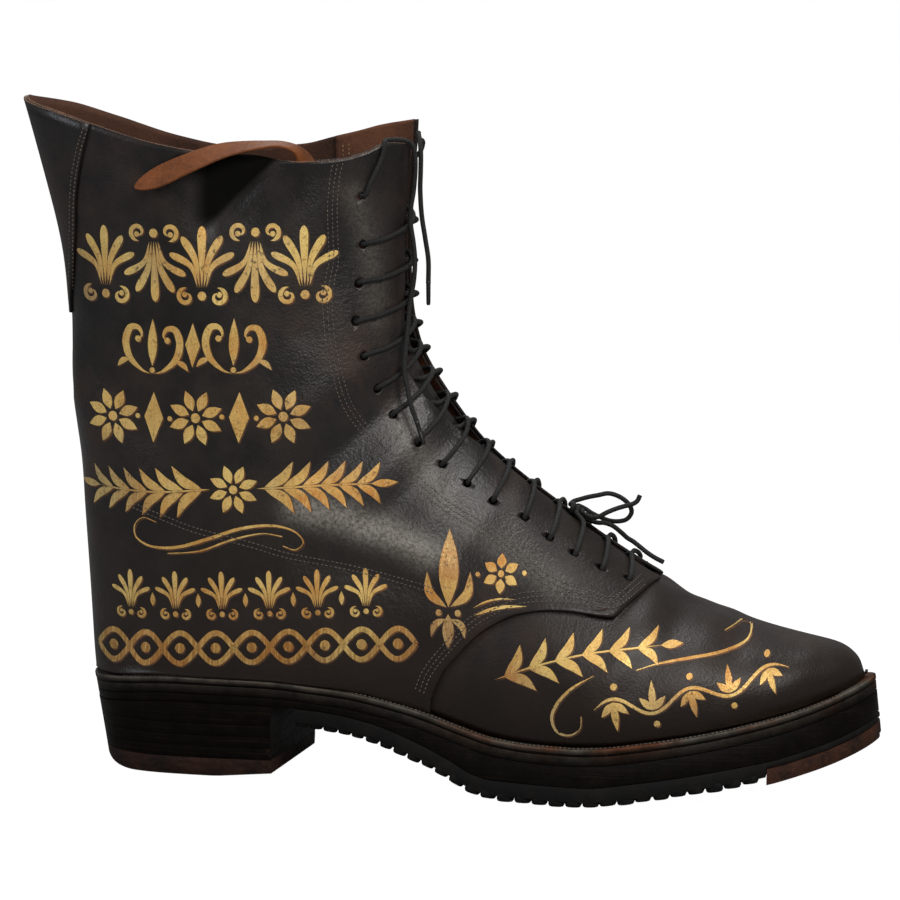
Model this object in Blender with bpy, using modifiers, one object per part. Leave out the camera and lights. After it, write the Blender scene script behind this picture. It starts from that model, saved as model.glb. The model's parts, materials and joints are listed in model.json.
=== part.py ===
"""Giant boot trade sign: a leather lace up ankle boot about 0.84 m long and 0.64 m high.

The toe points along +X, the boot's outer side faces -Y, and z = 0 is the floor that the heel and the tread
stand on. The origin is the middle of the heel's bottom face. Sides are called outer (-Y) and inner (+Y).
"""

import functools
import math

import bmesh
import bpy
import numpy as np
from mathutils import Matrix, Vector

MM = 0.001
OUTER, INNER = -1, 1

# Driving dimensions of the leather and the cord
FIT = 0.3 * MM
LAYER_GAP = 0.9 * MM
LEATHER = 2.6 * MM
FACING_LEATHER = 2.0 * MM
COUNTER_LEATHER = 3.0 * MM
TONGUE_LEATHER = 2.4 * MM
BACKSTAY_LEATHER = 2.2 * MM
STRAP_LEATHER = 2.8 * MM
STRAP_WIDTH = 24 * MM
LACE_RADIUS = 2.3 * MM
LACE_HOLE_RADIUS = 4.3 * MM
AGLET_RADIUS = 2.0 * MM
AGLET_LENGTH = 22 * MM

# Driving dimensions of the sole and the heel
WELT_THICKNESS = 6.5 * MM
WELT_WIDTH = 32 * MM
MIDSOLE_THICKNESS = 8.5 * MM
TREAD_BASE = 12.5 * MM
TREAD_FRONT = 6.0 * MM
LUG_HEIGHT = 7.0 * MM
LUG_GROOVE = 3.6 * MM
LUG_PITCH_WAIST = 13.8 * MM
LUG_PITCH_BALL = 16.2 * MM
TOE_PLATE_THICKNESS = 15.5 * MM
TOE_PLATE_START = 554 * MM
TOP_PIECE = 18 * MM
HEEL_LIFT = 11 * MM
HEEL_TAPER = 0.17
HEEL_BREAST_OUTER = 83 * MM
HEEL_BREAST_INNER = 104 * MM
INSOLE_THICKNESS = 4 * MM
SHANK_LENGTH = 190 * MM
SHANK_WIDTH = 34 * MM
SHANK_START = 35 * MM

# How far the upper stands in from the welt's edge, at the heel and at the forepart
LEDGE_HEEL = 4.0 * MM
LEDGE_FORE = 10.0 * MM

# The welt's outline seen from above, from the back of the heel to the toe
OUTER_OUTLINE = [(-100.5, 0), (-92, 40), (-72, 68), (-35, 86), (20, 91), (80, 89), (150, 87), (220, 95),
                 (290, 114), (350, 128), (400, 132), (450, 129), (500, 119), (550, 100), (590, 77),
                 (625, 47), (642, 24), (649, 0)]
INNER_OUTLINE = [(-100.5, 0), (-92, 40), (-72, 68), (-35, 86), (20, 90), (80, 84), (150, 74), (220, 80),
                 (290, 103), (350, 124), (400, 133), (450, 131), (500, 118), (550, 96), (590, 70),
                 (625, 42), (642, 21), (649, 0)]

# Side view of the welt's top and of the outsole's underside
WELT_TOP = [(-105, 84.5), (-75, 90.4), (-7, 97), (57, 96.5), (84, 95.7), (121, 92.4), (157, 89),
            (189, 83.5), (223, 76.5), (271, 63.5), (300, 57), (336, 54.6), (373, 54.4), (401, 56),
            (436, 61), (493, 70.5), (551, 82.5), (596, 94.5), (630, 106.5), (660, 119)]
OUTSOLE_BOTTOM = [(-105, 60.5), (-75, 66.4), (-7, 73), (57, 72.5), (84, 71.7), (122, 70), (145, 67.6),
                  (184, 60.4), (218, 49.8), (258, 33.5), (280, 23.3), (300, 19.5), (385, 19.5),
                  (435, 26), (476, 32.4), (506, 37.6), (557, 46.4), (586, 53.6), (610, 60.5), (643, 74),
                  (665, 86)]

# The upper's guide stations, from the toe to the top: the ridge in front, the foot of the same ruling on the
# welt (given by x alone) or on the back seam (x and z), and the half width of the outer and the inner side
STATIONS = [
    # ridge x, ridge z, foot x, foot z, outer half width, inner half width, fullness
    (638.5, 117, 639, None, None, None, 0.86),
    (637, 124, 636, None, None, None, 0.86),
    (630, 133, 626, None, None, None, 0.86),
    (615, 142.5, 607, None, None, None, 0.86),
    (589, 147, 578, None, None, None, 0.87),
    (541, 156.5, 528, None, None, None, 0.90),
    (490, 174, 476, None, None, None, 0.95),
    (444, 197, 424, None, None, None, 1.0),
    (397, 224.5, 366, None, None, None, 1.02),
    (349, 258, 301, None, None, None, 1.0),
    (307, 289, 236, None, None, None, 1.0),
    (273, 319, 166, None, None, None, 1.0),
    (247, 350, 98, None, None, None, 0.98),
    (230, 373, 42, None, None, None, 0.96),
    (218, 393, -6, None, None, None, 0.95),
    (209, 411, -42, None, None, None, 0.95),
    (203, 428, -68, None, None, None, 0.94),
    (199.5, 444, -86, None, None, None, 0.94),
    (197.5, 459, -94.5, None, None, None, 0.93),
    (196.5, 474, -97, 88, 88, 87, 0.93),
    (196, 491, -100.5, 150, 86, 85, 0.92),
    (196, 512, -108, 225, 84, 83, 0.92),
    (196, 530, -113.5, 295, 83, 82, 0.92),
    (196.5, 547, -123.5, 362, 83, 82, 0.92),
    (197.5, 564, -124.5, 425, 84, 83, 0.92),
    (198.5, 583, -129.5, 487, 85, 84, 0.92),
    (200, 605, -147, 553, 86, 85, 0.92),
    (201, 640, -178, 660, 87, 86, 0.92),
]
HEEL_STATION = 19
UPPER_BULGE = 1.035

# Half of the gap between the two facings at some stations, on the outer and on the inner side
GAP_STATIONS = [6, 7.5, 10.5, 12, 14, 17, 20, 28]
GAP_OUTER = [12, 12, 13, 27, 33, 27, 22, 22]
GAP_INNER = [12, 12, 13, 16, 18, 20, 22, 22]

# Side view outlines of the leather panels
QUARTER_FRONT = [(443, 201), (436, 190), (407, 171), (385, 174), (359, 177.5), (333, 176.5),
                 (315, 172.5), (296, 163), (280, 151.5), (262, 132), (246, 110.5), (238, 90), (235, 70)]
OUTER_RIM = [(196, 604), (175, 605.5), (161, 598.5), (139, 592), (110, 589.5), (80, 589), (45, 592),
             (10, 596), (-42, 603.5), (-98, 617.5), (-140, 628), (-177, 636)]
INNER_RIM = [(187, 622.5), (160, 613.5), (135, 605.5), (110, 598.5), (80, 590), (45, 585), (10, 585),
             (-42, 594), (-98, 612), (-140, 626), (-177, 636)]
COUNTER_TOP = [(212, 176), (170, 183), (110, 193), (40, 207), (-30, 223), (-75, 238), (-109, 250)]
COUNTER_LOW = 0.1
TOE_PUFF_START, TOE_PUFF_END = 1.3, 3.9
TOE_PUFF_FOOT = 0.985
BACKSTAY_BOTTOM = 432
BACKSTAY_EDGE = [(-98, 617), (-105, 595), (-111, 565), (-114, 540), (-115, 510), (-117, 480),
                 (-120, 455), (-123, 432)]
DENT_CENTRE = (52, 572)
DENT_DEPTH = 26 * MM

# Lace holes of one side in the side view, from the top of the shaft down to the instep
LACE_HOLES = [(157, 557), (159, 512), (156, 476), (154.5, 439), (161, 407), (173, 376), (188.5, 350),
              (212, 325.5), (236, 304.5), (261, 288), (286, 272.5), (316, 256.5), (341, 239), (365, 225),
              (391, 211.5), (416, 201.5)]
UPPER_LACE_ROWS = 13

# How finely the leather is divided: rows along the boot and columns from ridge to foot
PANEL_ROWS = 32
PANEL_SHARES = [0, 0.07, 0.14, 0.21, 0.28, 0.37, 0.46, 0.55, 0.64, 0.73, 0.82, 0.89, 0.95, 1.0]
FACING_COLUMNS = 4


def catmull(points, closed_ends=None):
    """A function of the parameter 0 to n-1 that runs smoothly through the points."""
    data = np.array(points, float)
    first = 2 * data[0] - data[1] if closed_ends is None else np.array(closed_ends[0], float)
    last = 2 * data[-1] - data[-2] if closed_ends is None else np.array(closed_ends[1], float)
    full = np.vstack([first, data, last])
    count = len(data)

    def at(value):
        value = min(max(value, 0.0), count - 1.0)
        i = min(int(value), count - 2)
        s = value - i
        a, b, c, d = full[i : i + 4]
        square, cube = 2 * a - 5 * b + 4 * c - d, 3 * b - 3 * c + d - a
        return 0.5 * (2 * b + (c - a) * s + square * s**2 + cube * s**3)

    return at


def monotone(points):
    """A smooth curve y of x through the points that never overshoots them."""
    xs, ys = np.array(points, float).T
    step = np.diff(xs)
    slope = np.diff(ys) / step
    tangent = np.zeros(len(xs))
    tangent[0], tangent[-1] = slope[0], slope[-1]
    for i in range(1, len(xs) - 1):
        if slope[i - 1] * slope[i] > 0:
            w1, w2 = 2 * step[i] + step[i - 1], step[i] + 2 * step[i - 1]
            tangent[i] = (w1 + w2) / (w1 / slope[i - 1] + w2 / slope[i])

    def at(x):
        x = min(max(x, xs[0]), xs[-1])
        i = int(min(max(np.searchsorted(xs, x) - 1, 0), len(xs) - 2))
        s = (x - xs[i]) / step[i]
        return (
            ys[i] * (1 + 2 * s) * (1 - s) ** 2
            + tangent[i] * step[i] * s * (1 - s) ** 2
            + ys[i + 1] * s * s * (3 - 2 * s)
            + tangent[i + 1] * step[i] * s * s * (s - 1)
        )

    return at


def in_metres(points):
    return [tuple(v * MM for v in point) for point in points]


def outline_curve(points, inset):
    """Dense points (x, half width) of one side's outline, moved in by the inset."""
    pts = in_metres(points)
    mirrored = ((pts[1][0], -pts[1][1]), (pts[-2][0], -pts[-2][1]))
    at = catmull(pts, mirrored)
    dense = np.array([at(v) for v in np.linspace(0, len(pts) - 1, 600)])
    tangent = np.gradient(dense, axis=0)
    tangent /= np.linalg.norm(tangent, axis=1)[:, None]
    inward = np.stack([tangent[:, 1], -tangent[:, 0]], axis=1)
    amount = np.array([inset(p[0]) for p in dense])
    return dense + inward * amount[:, None]


def ledge(x):
    blend = min(max((x / MM - 60) / 180, 0), 1)
    return LEDGE_HEEL + (LEDGE_FORE - LEDGE_HEEL) * blend * blend * (3 - 2 * blend)


OUTLINES = {
    OUTER: outline_curve(OUTER_OUTLINE, lambda x: 0.0),
    INNER: outline_curve(INNER_OUTLINE, lambda x: 0.0),
}
FEATHER = {OUTER: outline_curve(OUTER_OUTLINE, ledge), INNER: outline_curve(INNER_OUTLINE, ledge)}
INSOLE_EDGE = {
    OUTER: outline_curve(OUTER_OUTLINE, lambda x: ledge(x) + LEATHER + COUNTER_LEATHER + 8 * FIT),
    INNER: outline_curve(INNER_OUTLINE, lambda x: ledge(x) + LEATHER + COUNTER_LEATHER + 8 * FIT),
}


def spread(start, end, count, rounding=0.7):
    """Stations from start to end, closer together at both ends."""
    shares = np.linspace(0, 1, count)
    eased = (1 - np.cos(math.pi * shares)) / 2
    return start + (end - start) * ((1 - rounding) * shares + rounding * eased)


# Every layer of the sole bends at the same stations, so that neighbours stay parallel
SOLE_BACK = OUTER_OUTLINE[0][0] * MM + 0.4 * MM
SOLE_TIP = OUTER_OUTLINE[-1][0] * MM - 0.4 * MM
SOLE_STATIONS = spread(SOLE_BACK, SOLE_TIP, 46)


def bent(points):
    """A side view curve that is straight between the sole's stations."""
    smooth = monotone(in_metres(points))
    heights = [smooth(x) for x in SOLE_STATIONS]
    return lambda x: float(np.interp(x, SOLE_STATIONS, heights))


def stations_between(start, end):
    """The sole's stations inside a stretch, with its two ends."""
    return [start] + [x for x in SOLE_STATIONS if start + MM < x < end - MM] + [end]


welt_top = bent(WELT_TOP)
outsole_bottom = bent(OUTSOLE_BOTTOM)


def half_width(curves, side, x):
    curve = curves[side]
    return float(np.interp(x, curve[:, 0], curve[:, 1]))


def x_range(curves):
    return curves[OUTER][0, 0], curves[OUTER][-1, 0]


# The upper's surface
ridge_at = catmull([(s[0] * MM, s[1] * MM) for s in STATIONS])
foot_x_at = catmull([(s[2] * MM,) for s in STATIONS])
back_seam_at = catmull([(s[2] * MM, s[3] * MM) for s in STATIONS[HEEL_STATION:]])
width_at = {
    OUTER: catmull([(s[4] * MM,) for s in STATIONS[HEEL_STATION:]]),
    INNER: catmull([(s[5] * MM,) for s in STATIONS[HEEL_STATION:]]),
}
fullness_at = catmull([(s[6],) for s in STATIONS])
SEAM_HALF_GAP = 0.4 * MM
UPPER_LIFT = 1.1 * MM
HEEL_LIFT_OFF = 0.8 * MM
LAST_STATION = len(STATIONS) - 1


def foot_at(side, t):
    """The lower end of the ruling at station t: x, z and the half width there."""
    if t >= HEEL_STATION:
        x, z = back_seam_at(t - HEEL_STATION)
        return x, z, SEAM_HALF_GAP
    back, tip = FEATHER[side][0, 0], FEATHER[side][-1, 0]
    x = min(max(float(foot_x_at(t)[0]), back), tip)
    width = max(half_width(FEATHER, side, x), SEAM_HALF_GAP)
    near_heel = min(max((t - HEEL_STATION + 1), 0), 1)
    z = welt_top(x) + UPPER_LIFT + HEEL_LIFT_OFF * min(max((-70 - x / MM) / 18, 0), 1)
    seam_z = back_seam_at(0)[1]
    return x, z + (seam_z - z) * near_heel**3, width


def side_width(side, t, foot_width):
    """The half width of the bulge at station t."""
    shaft = float(width_at[side](max(t - HEEL_STATION, 0))[0])
    fore = foot_width * UPPER_BULGE
    blend = min(max((t - (HEEL_STATION - 7)) / 4, 0), 1)
    blend = blend * blend * (3 - 2 * blend)
    return max(fore * (1 - blend) + shaft * blend, foot_width * 1.005)


def dent(x, z):
    """How far the outer side sinks in under the strap."""
    dx = (x / MM - DENT_CENTRE[0] - 0.25 * (z / MM - DENT_CENTRE[1])) / 34
    dz = (z / MM - DENT_CENTRE[1]) / (62 if z / MM < DENT_CENTRE[1] else 60)
    return DENT_DEPTH * math.exp(-dx * dx - dz * dz)


HEEL_SQUARENESS = 0.2


def back_fullness(t, full):
    """The fullness of a ruling's rear half: the heel is squarer at its back than the shaft above it."""
    square = max(0.0, 1 - abs(t - 18.5) / 4)
    return full * (1 - HEEL_SQUARENESS * square * square * (3 - 2 * square))


def section(side, t):
    """What one ruling of the upper needs: its two ends, half width, fullness and end angle."""
    t = min(max(t, 0.0), LAST_STATION)
    ridge = ridge_at(t)
    foot_x, foot_z, foot_width = foot_at(side, t)
    width = side_width(side, t, foot_width)
    full = float(fullness_at(t)[0])
    end = math.pi - math.asin(min((foot_width / width) ** (1 / back_fullness(t, full)), 1.0))
    return ridge, (foot_x, foot_z), width, full, end


def surface(side, t, u):
    """The upper's base surface: t runs from the toe to the shaft's top, u from the ridge to the foot."""
    ridge, foot, width, full, end = section(side, t)
    angle = u * end
    share = (1 - math.cos(angle)) / (1 - math.cos(end))
    x = ridge[0] + (foot[0] - ridge[0]) * share
    z = ridge[1] + (foot[1] - ridge[1]) * share
    if angle > math.pi / 2:
        full = back_fullness(t, full)
    y = width * max(math.sin(angle), 0.0) ** full if u > 0 else 0.0
    if side == OUTER:
        y -= dent(x, z) * min(y / (40 * MM), 1.0)
    return Vector((x, side * y, z))


def normal(side, t, u):
    """The outward normal of the base surface."""
    dt, du = 0.04, 0.012
    t0, t1 = max(t - dt, 0.05), min(max(t + dt, 0.15), LAST_STATION)
    along = surface(side, t1, u) - surface(side, t0, u)
    if u < du:
        low, high = surface(side, t, du), surface(side, t, du)
        low.y = -low.y
        across = high - low
    else:
        across = surface(side, t, min(u + du, 1.0)) - surface(side, t, u - du)
    n = along.cross(across) * (1 if side == OUTER else -1)
    return n.normalized()


def skin(side, t, u, height):
    return surface(side, t, u) + normal(side, t, u) * height


def locate(x, z, side):
    """The station and the share u of the base surface at a point of the side view."""
    def cross(t):
        ridge, foot, *_ = section(side, t)
        return (foot[0] - ridge[0]) * (z - ridge[1]) - (foot[1] - ridge[1]) * (x - ridge[0])

    low, high = 0.3, float(LAST_STATION)
    start = cross(low)
    for _ in range(48):
        middle = (low + high) / 2
        if (cross(middle) > 0) == (start > 0):
            low = middle
        else:
            high = middle
    t = (low + high) / 2
    ridge, foot, _, _, end = section(side, t)
    run = (foot[0] - ridge[0], foot[1] - ridge[1])
    share = ((x - ridge[0]) * run[0] + (z - ridge[1]) * run[1]) / (run[0] ** 2 + run[1] ** 2)
    share = min(max(share, 0.0), 1.0)
    return t, math.acos(max(1 - share * (1 - math.cos(end)), -1)) / end


gap_at = {
    OUTER: monotone([(t, g * MM) for t, g in zip(GAP_STATIONS, GAP_OUTER)]),
    INNER: monotone([(t, g * MM) for t, g in zip(GAP_STATIONS, GAP_INNER)]),
}


def gap_share(side, t):
    """The share u at which the facing's edge lies."""
    _, _, width, full, end = section(side, t)
    return math.asin(min((gap_at[side](t) / width) ** (1 / full), 1)) / end


def panel_curve(points, side):
    """A side view outline as stations over the panel's share: 0 at the facing's edge, 1 at the foot."""
    found = []
    for x, z in in_metres(points):
        t, u = locate(x, z, side)
        edge = gap_share(side, t)
        found.append([(u - edge) / (1 - edge), t])
    found[0][0], found[-1][0] = 0.0, 1.0
    found.sort()
    return monotone(found)


QUARTER_LOW = {side: panel_curve(QUARTER_FRONT, side) for side in (OUTER, INNER)}
QUARTER_TOP = {OUTER: panel_curve(OUTER_RIM, OUTER), INNER: panel_curve(INNER_RIM, INNER)}

# Scene and materials
for old in list(bpy.data.objects):
    bpy.data.objects.remove(old, do_unlink=True)
boot = bpy.data.collections.new("giant_boot_trade_sign")
bpy.context.scene.collection.children.link(boot)
cutters = bpy.data.collections.new("cutters")
bpy.context.scene.collection.children.link(cutters)


def material(name, colour, roughness, metallic=0.0):
    made = bpy.data.materials.new(name)
    made.use_nodes = True
    shader = made.node_tree.nodes["Principled BSDF"]
    shader.inputs["Base Color"].default_value = (*colour, 1)
    shader.inputs["Roughness"].default_value = roughness
    shader.inputs["Metallic"].default_value = metallic
    return made


BLACK_LEATHER = ((0.022, 0.019, 0.018), 0.42)
BROWN_LEATHER = ((0.16, 0.07, 0.035), 0.7)
SOLE_LEATHER = ((0.035, 0.028, 0.024), 0.6)
WORN_SOLE = ((0.07, 0.03, 0.02), 0.65)
RUBBER = ((0.018, 0.018, 0.018), 0.8)
CORD = ((0.012, 0.012, 0.012), 0.9)
CORK = ((0.30, 0.19, 0.10), 0.9)
STEEL = ((0.45, 0.45, 0.45), 0.4, 1.0)
RUSTY_IRON = ((0.09, 0.035, 0.02), 0.7, 0.3)


def add_object(name, mesh, look):
    made = bpy.data.objects.new(name, mesh)
    boot.objects.link(made)
    mesh.materials.append(material(name, *look))
    mesh.shade_smooth()
    mesh.set_sharp_from_angle(angle=math.radians(35))
    return made


def loft(name, rows, look, ring=False):
    """A closed solid through rows of the same number of points, capped at both ends unless it is a ring."""
    bm = bmesh.new()
    grid = [[bm.verts.new(p) for p in row] for row in rows]
    size = len(rows[0])
    pairs = list(zip(grid, grid[1:])) + ([(grid[-1], grid[0])] if ring else [])
    for row, after in pairs:
        for i in range(size):
            k = (i + 1) % size
            bm.faces.new((row[i], row[k], after[k], after[i]))
    if not ring:
        bm.faces.new(grid[0])
        bm.faces.new(list(reversed(grid[-1])))
    bmesh.ops.recalc_face_normals(bm, faces=bm.faces)
    mesh = bpy.data.meshes.new(name)
    bm.to_mesh(mesh)
    bm.free()
    return add_object(name, mesh, look)


def thicken(made, thickness, inward):
    thick = made.modifiers.new("thickness", "SOLIDIFY")
    thick.thickness = thickness
    thick.offset = -1 if inward else 1
    return made


def shell(name, grid, thickness, look, inward=False):
    """A leather panel: an open grid of points whose normals face out, given its thickness by Solidify."""
    bm = bmesh.new()
    verts = [[bm.verts.new(p) for p in row] for row in grid]
    for row, after in zip(verts, verts[1:]):
        for i in range(len(row) - 1):
            bm.faces.new((row[i], after[i], after[i + 1], row[i + 1]))
    middle = verts[len(verts) // 2][len(verts[0]) // 2]
    bm.normal_update()
    if middle.normal.dot(shell_outward(middle.co)) < 0:
        bmesh.ops.reverse_faces(bm, faces=bm.faces)
    mesh = bpy.data.meshes.new(name)
    bm.to_mesh(mesh)
    bm.free()
    return thicken(add_object(name, mesh, look), thickness, inward)


def shell_outward(point):
    """A direction that leaves the boot's inside at a point of its wall."""
    inside = Vector((min(max(point.x, 40 * MM), 560 * MM), 0, min(point.z, 0.5)))
    if point.x > 200 * MM:
        inside.z = welt_top(point.x) + 20 * MM
    return point - inside


# The sole
def flare(x, depth):
    """How far the sole's side stands out from the welt's outline at a depth under the welt's top."""
    blend = min(max((x / MM - 90) / 120, 0), 1)
    return depth * (-HEEL_TAPER * (1 - blend) + 0.12 * blend)


def sole_row(x, top, bottom, extra=0.0):
    """Four points of the sole's cross section at x."""
    back, tip = x_range(OUTLINES)
    lean = (x - (back + tip) / 2) / ((tip - back) / 2)
    lean = math.copysign(abs(lean) ** 6, lean)
    row = []
    for side, z in ((OUTER, top), (INNER, top), (INNER, bottom), (OUTER, bottom)):
        out = flare(x, welt_top(x) - z) + extra
        width = half_width(OUTLINES, side, x) + out
        row.append((x + lean * out, side * width, z))
    return row


def sole_layer(name, top, bottom, look, start=SOLE_BACK, end=SOLE_TIP):
    rows = [sole_row(x, top(x), bottom(x)) for x in stations_between(start, end)]
    return loft(name, rows, look)


def welt_bottom(x):
    return welt_top(x) - WELT_THICKNESS


def midsole_top(x):
    return welt_bottom(x) - FIT


def outsole_top(x):
    return midsole_top(x) - MIDSOLE_THICKNESS - FIT


def tread_top(x):
    return outsole_bottom(x) - FIT


def plate_top(x):
    return tread_top(x) - TREAD_FRONT - FIT


def lug_bottom(x):
    return max(outsole_bottom(x) - TREAD_BASE - LUG_HEIGHT, 0.0)


WELT_INSIDE = {
    OUTER: outline_curve(OUTER_OUTLINE, lambda x: WELT_WIDTH),
    INNER: outline_curve(INNER_OUTLINE, lambda x: WELT_WIDTH),
}
FILLER_EDGE = {
    OUTER: outline_curve(OUTER_OUTLINE, lambda x: WELT_WIDTH + LAYER_GAP),
    INNER: outline_curve(INNER_OUTLINE, lambda x: WELT_WIDTH + LAYER_GAP),
}


def plan_rows(curves, xs, top, bottom):
    """Rows of a solid that fills a plan outline between two side view curves."""
    rows = []
    for x in xs:
        outer, inner = -half_width(curves, OUTER, x), half_width(curves, INNER, x)
        rows.append([(x, outer, top(x)), (x, inner, top(x)), (x, inner, bottom(x)), (x, outer, bottom(x))])
    return rows


def as_cutter(made):
    """Moves an object to the cutters, where it isn't part of the boot."""
    boot.objects.unlink(made)
    cutters.objects.link(made)
    made.hide_render = True
    made.display_type = "WIRE"
    return made


def subtract(target, tool, name):
    cut = target.modifiers.new(name, "BOOLEAN")
    cut.operation = "DIFFERENCE"
    cut.solver = "EXACT"
    cut.object = tool


def make_welt():
    """A ring of leather under the upper's edge."""
    welt = sole_layer("welt", welt_top, welt_bottom, SOLE_LEATHER)
    back, tip = x_range(WELT_INSIDE)
    xs = stations_between(back + 0.4 * MM, tip - 0.4 * MM)
    over = 5 * MM
    hollow = plan_rows(WELT_INSIDE, xs, lambda x: welt_top(x) + over, lambda x: welt_bottom(x) - over)
    subtract(welt, as_cutter(loft("welt_hollow", hollow, CORK)), "hollow")


make_welt()
sole_layer("midsole", midsole_top, lambda x: midsole_top(x) - MIDSOLE_THICKNESS, SOLE_LEATHER)
sole_layer("outsole", outsole_top, outsole_bottom, SOLE_LEATHER)


def make_insole():
    back, tip = x_range(INSOLE_EDGE)
    xs = stations_between(back + 0.4 * MM, tip - 0.4 * MM)
    height = FIT + INSOLE_THICKNESS
    rows = plan_rows(INSOLE_EDGE, xs, lambda x: welt_top(x) + height, lambda x: welt_top(x) + FIT)
    return loft("insole", rows, BROWN_LEATHER)


SHANK_END = SHANK_START + SHANK_LENGTH


def make_filler(name, start, end):
    """Cork that fills the space inside the welt, before or behind the shank."""
    rows = plan_rows(FILLER_EDGE, stations_between(start, end), welt_top, welt_bottom)
    return loft(name, rows, CORK)


def make_shank():
    rows = []
    half = SHANK_WIDTH / 2
    for x in stations_between(SHANK_START, SHANK_END):
        high, low = welt_top(x), welt_bottom(x)
        rows.append([(x, -half, high), (x, half, high), (x, half, low), (x, -half, low)])
    return loft("shank", rows, STEEL)


make_insole()
make_shank()
FILLER_BACK, FILLER_TIP = x_range(FILLER_EDGE)
make_filler("forepart_filler", SHANK_END + FIT, FILLER_TIP - 0.4 * MM)
make_filler("heel_filler", FILLER_BACK + 0.4 * MM, SHANK_START - FIT)


def lug_stations(start, end):
    """Pairs of x for each lug across the tread."""
    pairs = []
    x = start
    while True:
        blend = min(max((x / MM - 220) / 80, 0), 1)
        pitch = LUG_PITCH_WAIST + (LUG_PITCH_BALL - LUG_PITCH_WAIST) * blend
        stop = x + pitch - LUG_GROOVE
        if stop > end:
            break
        pairs.append((x, stop))
        x += pitch
    return pairs


TREAD_START = HEEL_BREAST_INNER + 2 * MM
LUG_SLOPE = 0.5 * MM


def make_tread():
    """The rubber tread: a base with a row of lugs across it, up to the toe plate."""
    rows = []

    def tread_base_bottom(x):
        return tread_top(x) - TREAD_BASE

    for start, stop in lug_stations(TREAD_START, TOE_PLATE_START - 2 * MM):
        rows.append(sole_row(start, tread_top(start), tread_base_bottom(start)))
        for x in (start + LUG_SLOPE, stop - LUG_SLOPE):
            rows.append(sole_row(x, tread_top(x), lug_bottom(x), -2 * MM))
        rows.append(sole_row(stop, tread_top(stop), tread_base_bottom(stop)))
    after = rows[-1][0][0] + LUG_GROOVE
    for x in stations_between(after, SOLE_TIP):
        rows.append(sole_row(x, tread_top(x), tread_top(x) - TREAD_FRONT))
    return loft("lugged_tread", rows, RUBBER)


make_tread()
sole_layer("toe_plate", plate_top, lambda x: plate_top(x) - TOE_PLATE_THICKNESS, RUSTY_IRON, TOE_PLATE_START)


# The heel
def worn_bottom(x):
    """The top piece's underside: flat in the middle, worn away at the back and towards the breast."""
    if x > 30 * MM:
        return 4.5 * MM * (x - 30 * MM) / (53 * MM)
    if x < -50 * MM:
        return 6 * MM * ((-50 * MM - x) / (38 * MM)) ** 2
    return 0.0


def heel_lift(name, top, bottom, look):
    """One layer of the heel; top and bottom are heights as functions of x."""
    rows = []
    shares = [0, 0.04, 0.1, 0.17, 0.25, 0.33, 0.42, 0.55, 0.68, 0.85, 1.0]
    for share in shares:
        row = []
        for side, height in ((OUTER, top), (INNER, top), (INNER, bottom), (OUTER, bottom)):
            breast = HEEL_BREAST_OUTER if side == OUTER else HEEL_BREAST_INNER
            x = SOLE_BACK + (breast - SOLE_BACK) * share
            z = height(x)
            out = -HEEL_TAPER * (welt_top(x) - z)
            width = half_width(OUTLINES, side, x) + out
            pull = out * (1 - min(share / 0.33, 1)) ** 2
            row.append((x - pull, side * max(width, 5 * MM), z))
        rows.append(row)
    return loft(name, rows, look)


def level(z):
    return lambda x: z


LIFT_NAMES = ["heel_lift_lower", "heel_lift_middle", "heel_lift_upper"]
heel_lift("heel_top_piece", level(TOP_PIECE), worn_bottom, WORN_SOLE)
lift_bottom = TOP_PIECE + FIT
for lift_name in LIFT_NAMES:
    heel_lift(lift_name, level(lift_bottom + HEEL_LIFT), level(lift_bottom), SOLE_LEATHER)
    lift_bottom += HEEL_LIFT + FIT
heel_lift("heel_seat_lift", lambda x: outsole_bottom(x) - FIT, level(lift_bottom), SOLE_LEATHER)


# The upper
def panel_point(side, share, t, height):
    edge = gap_share(side, t)
    return skin(side, t, edge + share * (1 - edge), height)


def quarter_station(side, share, v):
    """The station of the quarter's row v, 0 at its lower front edge and 1 at the rim."""
    low, high = QUARTER_LOW[side](share), QUARTER_TOP[side](share)
    return low + (high - low) * v


PANEL_LEVELS = np.linspace(0, 1, PANEL_ROWS)
# One row ends exactly where the foot line turns into the back seam
FOOT_LOW, FOOT_HIGH = QUARTER_LOW[OUTER](1.0), QUARTER_TOP[OUTER](1.0)
SEAM_LEVEL = (HEEL_STATION - FOOT_LOW) / (FOOT_HIGH - FOOT_LOW)
PANEL_LEVELS[int(np.argmin(abs(PANEL_LEVELS - SEAM_LEVEL)))] = SEAM_LEVEL
VAMP_OVERLAP = 0.4 * PANEL_LEVELS[1]
FACING_LEVELS = np.concatenate([[0.46 * PANEL_LEVELS[1]], PANEL_LEVELS[1:]])
FACING_SHARES = PANEL_SHARES[: FACING_COLUMNS + 1]
OUTSIDE = LAYER_GAP / 2
INSIDE = -LAYER_GAP / 2


@functools.lru_cache(maxsize=None)
def lattice_node(side, column, row):
    """A corner of the quarter's lattice and the normal there."""
    share = PANEL_SHARES[column]
    t = quarter_station(side, share, PANEL_LEVELS[row])
    edge = gap_share(side, t)
    u = edge + share * (1 - edge)
    return surface(side, t, u), normal(side, t, u)


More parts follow.
